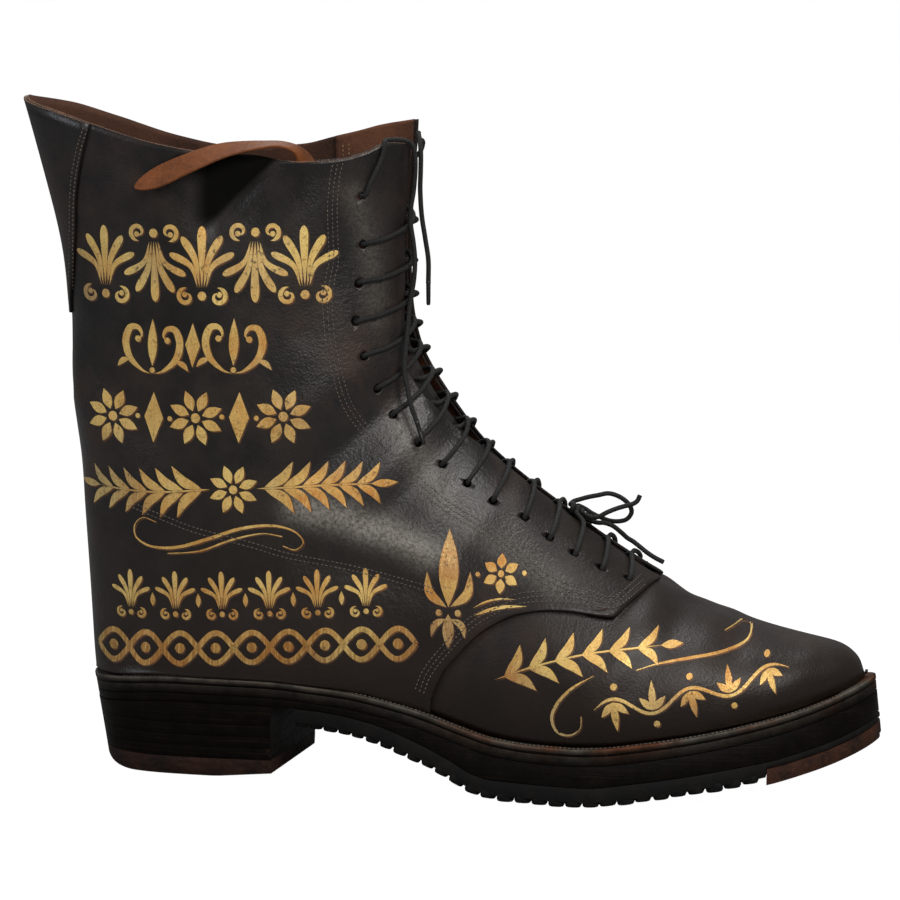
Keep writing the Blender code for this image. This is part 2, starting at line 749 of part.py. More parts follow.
def on_lattice(side, share, v, height):
    """A point over the flat faces of the quarter's lattice, so that the leather's layers stay parallel."""
    i = int(min(max(np.searchsorted(PANEL_SHARES, share, side="right") - 1, 0), len(PANEL_SHARES) - 2))
    j = int(min(max(np.searchsorted(PANEL_LEVELS, v, side="right") - 1, 0), PANEL_ROWS - 2))
    a = (share - PANEL_SHARES[i]) / (PANEL_SHARES[i + 1] - PANEL_SHARES[i])
    b = (v - PANEL_LEVELS[j]) / (PANEL_LEVELS[j + 1] - PANEL_LEVELS[j])
    point = Vector((0, 0, 0))
    for column, row, weight in ((i, j, (1 - a) * (1 - b)), (i + 1, j, a * (1 - b)),
                                (i, j + 1, (1 - a) * b), (i + 1, j + 1, a * b)):
        corner, out = lattice_node(side, column, row)
        point += (corner + out * height) * weight
    return point


def address(side, x, z):
    """The share and the level of the quarter at a point of the side view."""
    t, u = locate(x, z, side)
    edge = gap_share(side, t)
    share = (u - edge) / (1 - edge)
    inside = min(max(share, 0.0), 1.0)
    low, high = QUARTER_LOW[side](inside), QUARTER_TOP[side](inside)
    return share, (t - low) / (high - low)


def quarter_grid(side, shares, levels, height):
    return [[on_lattice(side, share, v, height) for share in shares] for v in levels]


SIDE_NAMES = {OUTER: "outer", INNER: "inner"}

quarters, facings = {}, {}
for side in (OUTER, INNER):
    grid = quarter_grid(side, PANEL_SHARES, PANEL_LEVELS, OUTSIDE)
    quarters[side] = shell(SIDE_NAMES[side] + "_quarter", grid, LEATHER, BLACK_LEATHER)
    grid = quarter_grid(side, FACING_SHARES, FACING_LEVELS, INSIDE)
    facings[side] = shell(SIDE_NAMES[side] + "_facing", grid, FACING_LEATHER, BROWN_LEATHER, inward=True)


def lace_hole(side, index):
    """The share and the level of a lace hole."""
    x, z = LACE_HOLES[index]
    return address(side, x * MM, z * MM)


def make_hole_cutter(side):
    """Pins through the quarter and the facing, one for each lace hole."""
    bm = bmesh.new()
    for index in range(len(LACE_HOLES)):
        share, v = lace_hole(side, index)
        centre = on_lattice(side, share, v, 0)
        axis = (on_lattice(side, share, v, MM) - centre).normalized()
        place = Matrix.Translation(centre) @ axis.to_track_quat("Z", "Y").to_matrix().to_4x4()
        bmesh.ops.create_cone(bm, cap_ends=True, segments=8, radius1=LACE_HOLE_RADIUS,
                              radius2=LACE_HOLE_RADIUS, depth=24 * MM, matrix=place)
    mesh = bpy.data.meshes.new("lace_hole_pins")
    bm.to_mesh(mesh)
    bm.free()
    made = bpy.data.objects.new("lace_hole_pins_" + SIDE_NAMES[side], mesh)
    boot.objects.link(made)
    return as_cutter(made)


for side in (OUTER, INNER):
    pins = make_hole_cutter(side)
    subtract(quarters[side], pins, "lace_holes")
    subtract(facings[side], pins, "lace_holes")


def ridge_point(t, y, height):
    """A point of the skin near the ridge at a signed distance across it."""
    side = OUTER if y < 0 else INNER
    _, _, width, full, end = section(side, t)
    u = math.asin(min((abs(y) / width) ** (1 / full), 1)) / end
    return skin(side, t, u, height)


VAMP_TOE_STATION = 0.12
VAMP_LEVELS = [0, 0.03, 0.08, 0.14, 0.21, 0.28, 0.36, 0.44, 0.52, 0.6, 0.68, 0.76, 0.84, 0.92, 1]
OVERLAP_STATIONS = 20


def make_vamp():
    """The forepart, from foot to foot over the ridge; its back runs under the quarters."""
    toe = VAMP_TOE_STATION
    rows = []
    for v in VAMP_LEVELS + [1 + VAMP_OVERLAP]:
        row = []
        for side, order in ((OUTER, PANEL_SHARES[::-1]), (INNER, PANEL_SHARES)):
            for share in order:
                t = toe + (QUARTER_LOW[side](share) - toe) * v
                if v < 1:
                    row.append(panel_point(side, share, t, INSIDE))
                else:
                    row.append(on_lattice(side, share, v - 1, INSIDE - LAYER_GAP))
            if side == OUTER:
                t = min(t, QUARTER_LOW[side](0) + (v - 1) * OVERLAP_STATIONS) if v > 1 else t
                row.append(skin(side, t, 0, INSIDE))
        rows.append(row)
    return shell("vamp", rows, LEATHER, BLACK_LEATHER, inward=True)


TOE_PUFF_DEPTH = INSIDE - LEATHER - 1.5 * LAYER_GAP


def make_toe_puff():
    """The stiffener inside the vamp's toe."""
    shares = np.linspace(0, TOE_PUFF_FOOT, 7)
    rows = []
    for t in np.linspace(TOE_PUFF_START, TOE_PUFF_END, 8):
        row = []
        for side, order in ((OUTER, shares[::-1]), (INNER, shares[1:])):
            for share in order:
                row.append(skin(side, t, share, TOE_PUFF_DEPTH))
        rows.append(row)
    return shell("toe_puff", rows, FACING_LEATHER, BROWN_LEATHER, inward=True)


TONGUE_DEPTH = INSIDE - FACING_LEATHER - 2 * LACE_RADIUS - 3 * LAYER_GAP
TONGUE_START, TONGUE_END = 6.6, 25.4
TONGUE_ROOT_END, TONGUE_SUNK = 6.95, 7.4
TONGUE_HALF_START, TONGUE_HALF_END = 26 * MM, 46 * MM


def tongue_height(t):
    """The tongue's outer face: just under the vamp at its root, and under the laces above."""
    root = INSIDE - LEATHER - 2 * LAYER_GAP
    blend = min(max((t - TONGUE_ROOT_END) / (TONGUE_SUNK - TONGUE_ROOT_END), 0), 1)
    return root + (TONGUE_DEPTH - root) * blend * blend * (3 - 2 * blend)


def make_tongue():
    rows = []
    for t in np.concatenate([np.linspace(TONGUE_START, TONGUE_SUNK, 6), np.linspace(7.8, TONGUE_END, 25)]):
        share = min((t - TONGUE_START) / 4, 1)
        half = TONGUE_HALF_START + (TONGUE_HALF_END - TONGUE_HALF_START) * share
        rows.append([ridge_point(t, y * half, tongue_height(t)) for y in np.linspace(-1, 1, 7)])
    return shell("tongue", rows, TONGUE_LEATHER, BLACK_LEATHER, inward=True)


def seam_level(z):
    """The quarter's level at which the back seam has the height z."""
    points = [(on_lattice(OUTER, 1.0, v, 0), v) for v in np.linspace(0, 1, 200)]
    seam = [(p.z / MM, v) for p, v in points if abs(p.y) < 2 * SEAM_HALF_GAP]
    return float(np.interp(z, [high for high, _ in seam], [v for _, v in seam]))


def mirrored_shell(name, half, first_joined, thickness, look, inward):
    """A panel in one piece round the heel: half(side) gives its rows, joined at their end from a row on."""
    bm = bmesh.new()
    grids = {}
    for side in (OUTER, INNER):
        grids[side] = [[bm.verts.new(p) for p in row] for row in half(side)]
    for row, other in list(zip(grids[OUTER], grids[INNER]))[first_joined:]:
        row[-1].co.y = 0
        bm.verts.remove(other[-1])
        other[-1] = row[-1]
    for side in (OUTER, INNER):
        for row, after in zip(grids[side], grids[side][1:]):
            for i in range(len(row) - 1):
                corners = [row[i], row[i + 1], after[i + 1], after[i]]
                face = bm.faces.new(corners if side == INNER else corners[::-1])
                face.normal_update()
    bmesh.ops.recalc_face_normals(bm, faces=bm.faces)
    bm.normal_update()
    sample = grids[OUTER][len(grids[OUTER]) // 2][-2]
    if sample.normal.dot(shell_outward(sample.co)) < 0:
        bmesh.ops.reverse_faces(bm, faces=bm.faces)
    mesh = bpy.data.meshes.new(name)
    bm.to_mesh(mesh)
    bm.free()
    return thicken(add_object(name, mesh, look), thickness, inward)


def edge_rows(side, outline, levels, height, least, columns):
    """Rows of a panel from an outline's share to the seam, with columns on the quarter's own columns."""
    found = [address(side, x * MM, z * MM) for x, z in outline]
    at = monotone(sorted((v, share) for share, v in found))
    rows = []
    for v in levels:
        start = min(at(v), 1 - (columns + 1) * least)
        inner = [max(share, start + least * (k + 1)) for k, share in enumerate(PANEL_SHARES[-columns - 1 : -1])]
        last = 1.0 if v >= SEAM_LEVEL else FOOT_COLUMN
        rows.append([on_lattice(side, share, v, height) for share in [start] + inner + [last]])
    return rows


# The heel stiffener's and the backstay's places; the stiffener has no row where the foot meets the seam
FOOT_COLUMN = 0.965
COUNTER_DEPTH = INSIDE - 1.7 * LAYER_GAP
BACKSTAY_HEIGHT = OUTSIDE + LEATHER + 1.8 * LAYER_GAP
BARE_BELOW_SEAM, BARE_ABOVE_SEAM = 0.025, 0.014


def make_counter():
    """The heel stiffener inside both quarters, in one piece round the heel."""
    top = seam_level(COUNTER_TOP[-1][1])
    bare = (SEAM_LEVEL - BARE_BELOW_SEAM, SEAM_LEVEL + 0.001)
    levels = [v for v in PANEL_LEVELS if COUNTER_LOW < v < top and not bare[0] < v < bare[1]]
    levels = sorted(levels + [SEAM_LEVEL + BARE_ABOVE_SEAM, top])
    seams = [on_lattice(OUTER, 1.0, v, 0) for v in levels]
    joined = next(k for k, p in enumerate(seams) if abs(p.y) < 2 * SEAM_HALF_GAP)
    def half(side):
        return edge_rows(side, COUNTER_TOP, levels, COUNTER_DEPTH, 0.01, 6)

    return mirrored_shell("heel_counter", half, joined, COUNTER_LEATHER, BROWN_LEATHER, True)


def make_backstay():
    """The strip that covers the back seam from the top tip down."""
    bottom = seam_level(BACKSTAY_BOTTOM)
    levels = [bottom] + [v for v in PANEL_LEVELS if v > bottom + 0.01]

    def half(side):
        return edge_rows(side, BACKSTAY_EDGE, levels, BACKSTAY_HEIGHT, 0.008, 4)

    return mirrored_shell("backstay", half, 0, BACKSTAY_LEATHER, BLACK_LEATHER, False)


make_vamp()
make_toe_puff()
make_tongue()
make_counter()
make_backstay()


# The pull strap: the middle of its leather, and how far its width leans over towards the boot's inside
STRAP_LINE = [
    # x, y, z, lean in degrees, width share
    (106, -69.4, 545, 2, 0.9),
    (106, -68.0, 558, 8, 1.0),
    (105, -63, 574, 32, 1.0),
    (102, -55.5, 588, 62, 1.0),
    (94, -59, 598.5, 82, 1.0),
    (80, -63.5, 603, 85, 1.0),
    (64, -70, 602.5, 80, 1.0),
    (46, -78, 600.5, 70, 1.0),
    (28, -87, 597, 58, 1.0),
    (10, -94, 590.5, 48, 1.0),
    (-8, -97, 582.5, 42, 1.0),
    (-24, -97.5, 574.5, 38, 1.0),
    (-37, -97, 568, 36, 0.82),
    (-46, -96, 563.5, 36, 0.5),
    (-51, -95.5, 561, 36, 0.16),
]
STRAP_PIVOT = (106, -69.0, 550)


def make_strap():
    """A strap that is sewn in behind the rim, arches over it and lies outside with its pointed end."""
    middle = catmull([tuple(v * MM for v in row[:3]) for row in STRAP_LINE])
    lean = catmull([row[3:] for row in STRAP_LINE])
    rows = []
    for step in np.linspace(0, len(STRAP_LINE) - 1, 2 * len(STRAP_LINE) - 1):
        centre = Vector(middle(step))
        along = Vector(middle(step + 0.1)) - Vector(middle(step - 0.1))
        flat = Vector((along.x, 0, along.z)).normalized()
        up = Vector((-flat.z, 0, flat.x)) * (1 if flat.x > 0 else -1)
        if step < 3:
            up = Vector((flat.z, 0, -flat.x))
        angle, share = lean(step)
        angle = math.radians(angle)
        across = (up * math.cos(angle) + Vector((0, 1, 0)) * math.sin(angle)).normalized()
        thick = across.cross(along).normalized() * STRAP_LEATHER / 2
        across *= STRAP_WIDTH / 2 * share
        upper, lower = centre + thick, centre - thick
        rows.append([upper + across, lower + across, lower - across, upper - across])
    strap = loft("pull_strap", rows, BROWN_LEATHER)
    pivot = Vector(STRAP_PIVOT) * MM
    strap.data.transform(Matrix.Translation(-pivot))
    strap.location = pivot
    return strap


make_strap()


# The laces
OVER = OUTSIDE + LEATHER + LACE_RADIUS + 4 * FIT
UNDER = INSIDE - FACING_LEATHER - LACE_RADIUS - 2 * FIT
HOLE_TURN = 3.0
CROSSING_SHARE = 0.6
GAP_SHARE = 0.8
WIDE_GAP = 17 * MM
LACE_LOW = 5
STRAND_REACH = 6


def over_boot(t, u, height):
    """A point over the boot at station t; u is the share from the ridge, negative on the outer side."""
    side = OUTER if u < 0 else INNER
    edge = gap_share(side, t)
    if abs(u) <= edge:
        return skin(side, t, abs(u), height)
    share = (abs(u) - edge) / (1 - edge)
    low, high = QUARTER_LOW[side](share), QUARTER_TOP[side](share)
    return on_lattice(side, share, (t - low) / (high - low), height)


def hole_place(side, row):
    """The station and the signed share of a lace hole; row 1 is the highest."""
    x, z = LACE_HOLES[row - 1]
    t, u = locate(x * MM, z * MM, side)
    return t, side * u


def hole_turn(side, row, outward):
    """The lace goes through a hole, from the inside to the outside or back."""
    t, u = hole_place(side, row)
    step = 0.01 * side
    per_mm = step / (over_boot(t, u + step, 0) - over_boot(t, u, 0)).length * MM
    places = [(u - HOLE_TURN * per_mm, UNDER), (u + per_mm, UNDER * 0.35), (u + per_mm, OVER * 0.45),
              (u - HOLE_TURN * per_mm, OVER)]
    points = [over_boot(t, place, height) for place, height in places]
    return points if outward else points[::-1]


def beside_ridge(hole):
    """The station of the ridge's place that lies nearest to a hole in the side view."""
    stations = np.linspace(LACE_LOW, LAST_STATION, 900)
    return min(stations, key=lambda t: math.dist(ridge_at(t), (hole[0] * MM, hole[1] * MM)))


def crossing(side, row):
    """From a hole to the next higher hole of the other side: over this facing and under that one."""
    hole, next_hole = LACE_HOLES[row - 1], LACE_HOLES[row - 2]
    (_, u0), (_, u1) = hole_place(side, row), hole_place(-side, row - 1)
    centre = (beside_ridge(hole) + beside_ridge(next_hole)) / 2
    on_ridge, ahead = ridge_at(centre), ridge_at(centre + 0.1)
    run = (ahead - on_ridge) / math.dist(ahead, on_ridge)

    def along(x, z):
        return (x - on_ridge[0]) * run[0] + (z - on_ridge[1]) * run[1]

    def station(u):
        """A lace pulled tight climbs evenly along the ridge, from each hole to the middle of the gap."""
        which = OUTER if u < 0 else INNER
        (x, z), own_u = (hole, u0) if which == side else (next_hole, u1)
        wanted = along(x * MM, z * MM) * u / own_u
        low, high = centre - STRAND_REACH, min(centre + STRAND_REACH, LAST_STATION)
        for _ in range(30):
            middle = (low + high) / 2
            place = surface(which, middle, abs(u))
            low, high = (middle, high) if along(place.x, place.z) < wanted else (low, middle)
        return (low + high) / 2

    def edge_of(which):
        u = 0.0
        for _ in range(6):
            u = which * gap_share(which, station(u))
        return u

    own, other = edge_of(side), edge_of(-side)
    places = [(u0 + (own - u0) * s, OVER) for s in (0.34, 0.67, 1)]
    if side == OUTER:
        places += [(CROSSING_SHARE * own, OVER), (GAP_SHARE * other, UNDER)]
    else:
        places += [(GAP_SHARE * own, OVER), (CROSSING_SHARE * other, UNDER)]
    places += [(other, UNDER), ((u1 + other) / 2, UNDER)]
    points = []
    middle = 3 if side == OUTER else 4
    for k, (u, height) in enumerate(places):
        t = centre if k == middle else station(u)
        if points and height != places[k - 1][1] and gap_at[OUTER](t) > WIDE_GAP:
            points += [over_boot(before[0] + (t - before[0]) * s, before[1] + (u - before[1]) * s,
                                 before[2] + (height - before[2]) * s) for s in (0.34, 0.67)]
        points.append(over_boot(t, u, height))
        before = (t, u, height)
    return points


def bar(row):
    """Straight across under both facings, from the outer hole to the inner hole of a row."""
    points = []
    for side in (OUTER, INNER):
        t, u = hole_place(side, row)
        edge = side * gap_share(side, t)
        half = [over_boot(t, (u + edge) / 2, UNDER), over_boot(t, edge, UNDER), over_boot(t, edge * 0.4, UNDER)]
        points += half if side == OUTER else half[::-1]
    return points


def chain(side, row, top):
    """From the bar's hole on one side up to the top row, crossing at each row."""
    points = hole_turn(side, row, True)
    while row > top:
        points += crossing(side, row)
        side, row = -side, row - 1
        points += hole_turn(side, row, True)
    return points, side


def cord(name, points, radius, look=CORD):
    """A round cord through the given points."""
    line = bpy.data.curves.new(name, "CURVE")
    line.dimensions = "3D"
    spline = line.splines.new("POLY")
    spline.points.add(len(points) - 1)
    for target, point in zip(spline.points, points):
        target.co = (*point, 1)
    line.bevel_depth = radius
    line.bevel_resolution = 2
    line.use_fill_caps = True
    made = bpy.data.objects.new(name, line)
    boot.objects.link(made)
    line.materials.append(material(name, *look))
    return made


def laced(name, top, bottom, outer_tail, inner_tail):
    """A lace through the holes of the rows top to bottom, with a tail from each of its highest holes."""
    first, first_side = chain(OUTER, bottom, top)
    second, _ = chain(INNER, bottom, top)
    tails = {OUTER: outer_tail, INNER: inner_tail}
    route = tails[first_side][::-1] + first[::-1] + bar(bottom) + second + tails[-first_side]
    return cord(name, route, LACE_RADIUS)


def tail_points(side, row, target, heights):
    """Points from a hole towards a place (station, signed share) on the boot."""
    t, u = hole_place(side, row)
    return [over_boot(t + (target[0] - t) * s, u + (target[1] - u) * s, height) for s, height in heights]


def from_side_view(points):
    return [Vector(p) * MM for p in points]


def over_rim(side, share, out, above):
    """A point over the top edge of the rim."""
    t = QUARTER_TOP[side](share)
    return panel_point(side, share, t, out) + Vector((0, 0, above))


def rim_tail(side, shares):
    """From the highest hole up the outside and over the rim, then along its edge to the front."""
    share = shares[0] + 0.012
    t = QUARTER_TOP[side](share)
    edge = gap_share(side, t)
    target = (t - 0.22, side * (edge + share * (1 - edge)))
    points = tail_points(side, 1, target, [(0.25, OVER), (0.5, OVER), (0.75, OVER), (1, OVER)])
    points.append(over_rim(side, share, OVER, 1.5 * MM))
    points.append(over_rim(side, share - 0.008, 3 * MM, 3.6 * MM))
    return points + [over_rim(side, share, 1.5 * MM, 3.1 * MM) for share in shares[1:]]


def front_tail(side, climb):
    """From the highest hole slantwise up the facing and round its front edge, below the rim."""
    t, _ = hole_place(side, 1)
    target = (t + climb, side * gap_share(side, t + climb))
    return tail_points(side, 1, target, [(0.3, OVER), (0.6, OVER), (0.85, OVER), (1, OVER)])


# Where the two tails leave the boot's front, before their ends hang down
OUTER_DROP = [(193.3, -31.8, 607.6), (197, -31.5, 605.6)]
INNER_DROP = [(204, 14, 599.5), (205.5, 4, 603.5), (205.5, -5, 606)]
OUTER_TAIL = rim_tail(OUTER, [0.105, 0.08, 0.055]) + from_side_view(OUTER_DROP)
INNER_TAIL = front_tail(INNER, 1.05) + from_side_view(INNER_DROP)
laced("upper_lace", 1, UPPER_LACE_ROWS, OUTER_TAIL, INNER_TAIL)

KNOT_STATION = 8.85
KNOT_ACROSS = 2 * MM
KNOT_HEIGHT = 6.2 * MM
KNOT_TURNS = 2.5
KNOT_PITCH = 5.2 * MM
KNOT_COIL = 3.9 * MM


def knot_frame():
    """The knot's middle and its directions along the ridge, across it and up."""
    middle = ridge_point(KNOT_STATION, KNOT_ACROSS, KNOT_HEIGHT)
    along = (ridge_point(KNOT_STATION - 0.2, 0, 0) - ridge_point(KNOT_STATION + 0.2, 0, 0)).normalized()
    across = Vector((0, 1, 0))
    return middle, along, across, across.cross(along) * -1


def make_knot():
    middle, along, across, up = knot_frame()
    points = []
    steps = int(KNOT_TURNS * 9)
    for k in range(steps + 1):
        angle = 2 * math.pi * k / 9
        run = (k / steps - 0.5) * KNOT_TURNS * KNOT_PITCH
        points.append(middle + along * run + (across * math.cos(angle) + up * math.sin(angle)) * KNOT_COIL)
    return cord("bow_knot", points, LACE_RADIUS)


# How far a cord's middle lies from the knot's middle where it comes out of the knot's flank
KNOT_FLANK = KNOT_COIL + LACE_RADIUS + 2 * FIT
LEAD = 2.4 * MM


def from_knot(run, across_by, up_by, sideways):
    """Two points that lead out of the knot, to its side or along it towards the toe; places in mm."""
    middle, along, across, up = knot_frame()
    start = middle + along * run * MM + across * across_by + up * up_by * MM
    out = across * math.copysign(1, across_by) if sideways else along
    return [start, start + out * LEAD]


def knot_tail(side, run, between):
    """From the topmost hole of the lower lace to the knot's flank."""
    t, u = hole_place(side, UPPER_LACE_ROWS + 1)
    points = [over_boot(t + 0.02, (u + side * gap_share(side, t)) / 2, OVER)]
    points.append(over_boot(t + 0.06, side * gap_share(side, t) * 1.2, OVER))
    return points + from_side_view(between) + from_knot(run, side * KNOT_FLANK, 0, True)[::-1]


outer_knot_tail = knot_tail(OUTER, 1.5, [(365.5, -11.5, 253.3)])
inner_knot_tail = knot_tail(INNER, 2.8, [(366.3, 13.8, 252.6)])
laced("lower_lace", UPPER_LACE_ROWS + 1, len(LACE_HOLES), outer_knot_tail, inner_knot_tail)
make_knot()


def free_cord(name, lead, points, count, end=()):
    """A free cord: its lead, then a smooth line through its points with even steps, then its end."""
    line = [lead[-1]] + from_side_view(points) + list(end)[:1]
    at = catmull(line)
    dense = [Vector(at(v)) for v in np.linspace(0, len(line) - 1, 400)]
    runs = np.cumsum([0] + [(b - a).length for a, b in zip(dense, dense[1:])])
    even = [np.interp(np.linspace(0, runs[-1], count), runs, [p[k] for p in dense]) for k in range(3)]
    return cord(name, lead[:1] + [Vector(p) for p in zip(*even)] + list(end)[1:], LACE_RADIUS)


def carried_on(tail):
    """The lead of a free end that carries on from the end of a lace."""
    run = (tail[-1] - tail[-2]).normalized()
    return [tail[-1] + run * 2 * FIT, tail[-1] + run * LEAD]


BOW_LOOP = [(356, 14, 264.5), (362, 15, 266.5), (370, 15.5, 269), (379, 16, 271), (389, 17, 273),
            (399, 19, 270), (407.5, 21, 263.5), (411, 22, 255.5), (407, 21.5, 248.5), (399.5, 20.5, 246),
            (390, 19, 247), (381, 18, 249.8), (373.5, 18.3, 253), (366.5, 18.3, 257.2),
            (360.5, 15.4, 260.2)]
BOW_END_HIGH = [(376, -0.3, 252.3), (382, -1.5, 253.3), (389, -2, 257.5), (397, 0, 261),
                (405.5, 2, 263.8), (413, 3, 266), (417.5, 4, 269), (420, 4, 274.5)]
BOW_END_LOW = [(372, 6, 248.4), (380, 6.5, 246.2), (387, 7.5, 246), (395, 9, 243), (402.5, 13, 236.5),
               (408, 16.5, 231), (414, 17, 227.5), (421, 14, 223), (428, 11, 218.5), (435.5, 8.5, 214.5),
               (444, 6, 211)]
HANGING_FRONT = [(205, -15, 605.5), (206.5, -19.5, 597), (207, -21, 587), (207, -21, 575),
                 (207, -21, 560), (209, -22, 537), (213, -23, 515), (216.5, -24, 495), (217, -24, 474)]
HANGING_SIDE = [(201.5, -31.4, 600.5), (203, -31.5, 592), (203.2, -31.3, 578), (202, -31, 560),
                (200, -31.5, 545), (200, -32, 530), (203, -32, 512), (205, -33, 495), (204.5, -34, 477),
                (202, -36, 458), (201, -40, 440), (200, -47, 415), (200, -53, 393), (204, -57, 376),
                (207, -60, 364), (214, -63, 346)]
loop_end = from_knot(-2.3, KNOT_FLANK, 0, True)[::-1]
free_cord("bow_loop", from_knot(-7.3, KNOT_FLANK, 0, True), BOW_LOOP, 26, loop_end)
free_cord("bow_end_high", from_knot(8.8, -1.7 * MM, 3, False), BOW_END_HIGH, 12)
free_cord("bow_end_low", from_knot(7.1, 3.7 * MM, -1.3, False), BOW_END_LOW, 15)
free_cord("hanging_end_front", carried_on(INNER_TAIL), HANGING_FRONT, 14)
free_cord("hanging_end_side", carried_on(OUTER_TAIL), HANGING_SIDE, 28)

AGLET = ((0.02, 0.02, 0.02), 0.35)


def aglet(name, points):
    """The stiff tip of a hanging end, straight on from the cord's last stretch."""
    last, before = (Vector(points[k]) * MM for k in (-1, -2))
    run = (last - before).normalized()
    start = last + run * FIT
    return cord(name, [start, start + run * AGLET_LENGTH], AGLET_RADIUS, AGLET)


aglet("aglet_front", HANGING_FRONT)
aglet("aglet_side", HANGING_SIDE)
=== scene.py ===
# %% [markdown]
# # A giant leather boot, made as a trade sign
#
# The object is a lace up ankle boot, about two and a half times life size, that a shoemaker hangs or stands in the
# shop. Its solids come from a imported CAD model. This lesson dresses them: leather panels with grain and creases,
# stitches, laces, a worn sole and gilt ornament. Lengths are in metres, the toe points along +X, and the boot's
# outer side faces -Y.

import json
import math

import bmesh
import bpy
import numpy as np
from mathutils import Matrix, Vector
from mathutils.bvhtree import BVHTree


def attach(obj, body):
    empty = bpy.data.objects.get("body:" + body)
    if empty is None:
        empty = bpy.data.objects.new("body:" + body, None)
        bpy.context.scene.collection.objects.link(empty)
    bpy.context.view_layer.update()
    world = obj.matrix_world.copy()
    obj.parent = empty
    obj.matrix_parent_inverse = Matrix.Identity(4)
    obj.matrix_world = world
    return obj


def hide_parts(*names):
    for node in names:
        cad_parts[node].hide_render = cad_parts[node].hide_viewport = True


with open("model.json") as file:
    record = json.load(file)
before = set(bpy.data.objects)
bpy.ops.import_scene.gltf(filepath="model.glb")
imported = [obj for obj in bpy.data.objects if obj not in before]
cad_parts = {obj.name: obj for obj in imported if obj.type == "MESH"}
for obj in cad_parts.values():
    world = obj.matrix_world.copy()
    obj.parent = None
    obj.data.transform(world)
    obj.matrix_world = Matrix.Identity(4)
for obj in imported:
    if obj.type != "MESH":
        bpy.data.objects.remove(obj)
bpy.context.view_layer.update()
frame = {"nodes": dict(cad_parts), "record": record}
nodes = frame["nodes"]
scene = bpy.context.scene
MM = 0.001
OUTER, INNER = -1, 1
SIDES = (OUTER, INNER)
SIDE_NAMES = {OUTER: "outer", INNER: "inner"}


def add_object(name, data):
    made = bpy.data.objects.new(name, data)
    scene.collection.objects.link(made)
    return made


def add_mesh(name, points, edges, faces):
    mesh = bpy.data.meshes.new(name)
    mesh.from_pydata(points, edges, faces)
    mesh.update()
    return add_object(name, mesh)


# %% [markdown]
# ## The camera
#
# A photograph of such a sign is taken from some metres away with a long lens, so the boot shows almost without
# perspective. Two ways to place a camera are to turn it by hand or to build its matrix from the direction that it
# looks in. The second is exact and easy to read, so the matrix comes from a target, a distance and three angles.

# %% Camera
CAMERA_DISTANCE = 5.0
CAMERA_HEIGHT_ANGLE, CAMERA_YAW, CAMERA_ROLL = (math.radians(angle) for angle in (9, 7, 1.301))
CAMERA_TARGET = Vector((0.23818, 0, 0.31104))
PIXEL_AT_TARGET, FRAME_PIXELS = 0.95 * MM, 900
SENSOR_WIDTH = 36

away = Vector((math.sin(CAMERA_YAW) * math.cos(CAMERA_HEIGHT_ANGLE),
               -math.cos(CAMERA_YAW) * math.cos(CAMERA_HEIGHT_ANGLE), math.sin(CAMERA_HEIGHT_ANGLE)))
level_right = Vector((math.cos(CAMERA_YAW), math.sin(CAMERA_YAW), 0))
level_up = level_right.cross(-away)
right = level_right * math.cos(CAMERA_ROLL) + level_up * math.sin(CAMERA_ROLL)
up = level_up * math.cos(CAMERA_ROLL) - level_right * math.sin(CAMERA_ROLL)
camera_data = bpy.data.cameras.new("photo_camera")
camera_data.sensor_width = SENSOR_WIDTH
camera_data.lens = SENSOR_WIDTH * CAMERA_DISTANCE / PIXEL_AT_TARGET / FRAME_PIXELS
camera_data.clip_end = 50
scene.camera = add_object("photo_camera", camera_data)
turn = Matrix((right, up, away)).transposed().to_4x4()
scene.camera.matrix_world = Matrix.Translation(CAMERA_TARGET + away * CAMERA_DISTANCE) @ turn
print("lens in mm:", round(camera_data.lens, 1))

# %% [markdown]
# ## Light and floor
#
# The sign stands on plain white. Soft light from large lamps shows black leather best, because it draws long soft
# highlights on it. The world lights everything a little and the camera sees it as white. The floor is a sheet
# of pale grey that shows mostly plain white to the camera, with a weak shadow left where the boot stands: a truly
# white floor would throw so much light up at the sole that its black turned grey.

# %% Lamps
LAMPS = [
    # name, place, size, power, colour
    ("key_lamp", (1.7, -1.9, 2.3), 1.1, 56, (1, 0.97, 0.92)),
    ("front_lamp", (0.9, -2.7, 1.5), 0.9, 16, (1, 0.98, 0.95)),
    ("window_lamp", (-2.2, -1.3, 1.6), 1.2, 22, (0.86, 0.92, 1)),
    ("top_lamp", (0.3, 0.4, 2.7), 1.3, 34, (1, 1, 1)),
    ("back_lamp", (-0.6, 2.4, 1.5), 1.3, 14, (1, 1, 1)),
]
BOOT_MIDDLE = Vector((0.2, 0, 0.3))
for name, place, size, power, colour in LAMPS:
    lamp = bpy.data.lights.new(name, "AREA")
    lamp.shape, lamp.size, lamp.energy, lamp.color = "DISK", size, power, colour
    made = add_object(name, lamp)
    made.location = place
    made.rotation_mode = "QUATERNION"
    made.rotation_quaternion = (Vector(place) - BOOT_MIDDLE).to_track_quat("Z", "Y")

# %% World and floor
WORLD_LIGHT = 0.2
FLOOR_REACH, FLOOR_DROP = 12, MM


def mix_shaders(tree, mask, first, second, target):
    """Links a mix of two shaders to a target; the second one shows where the mask is 1."""
    mixed = tree.nodes.new("ShaderNodeMixShader")
    for source, socket in zip((mask, first, second), mixed.inputs):
        tree.links.new(source, socket)
    tree.links.new(mixed.outputs[0], target)


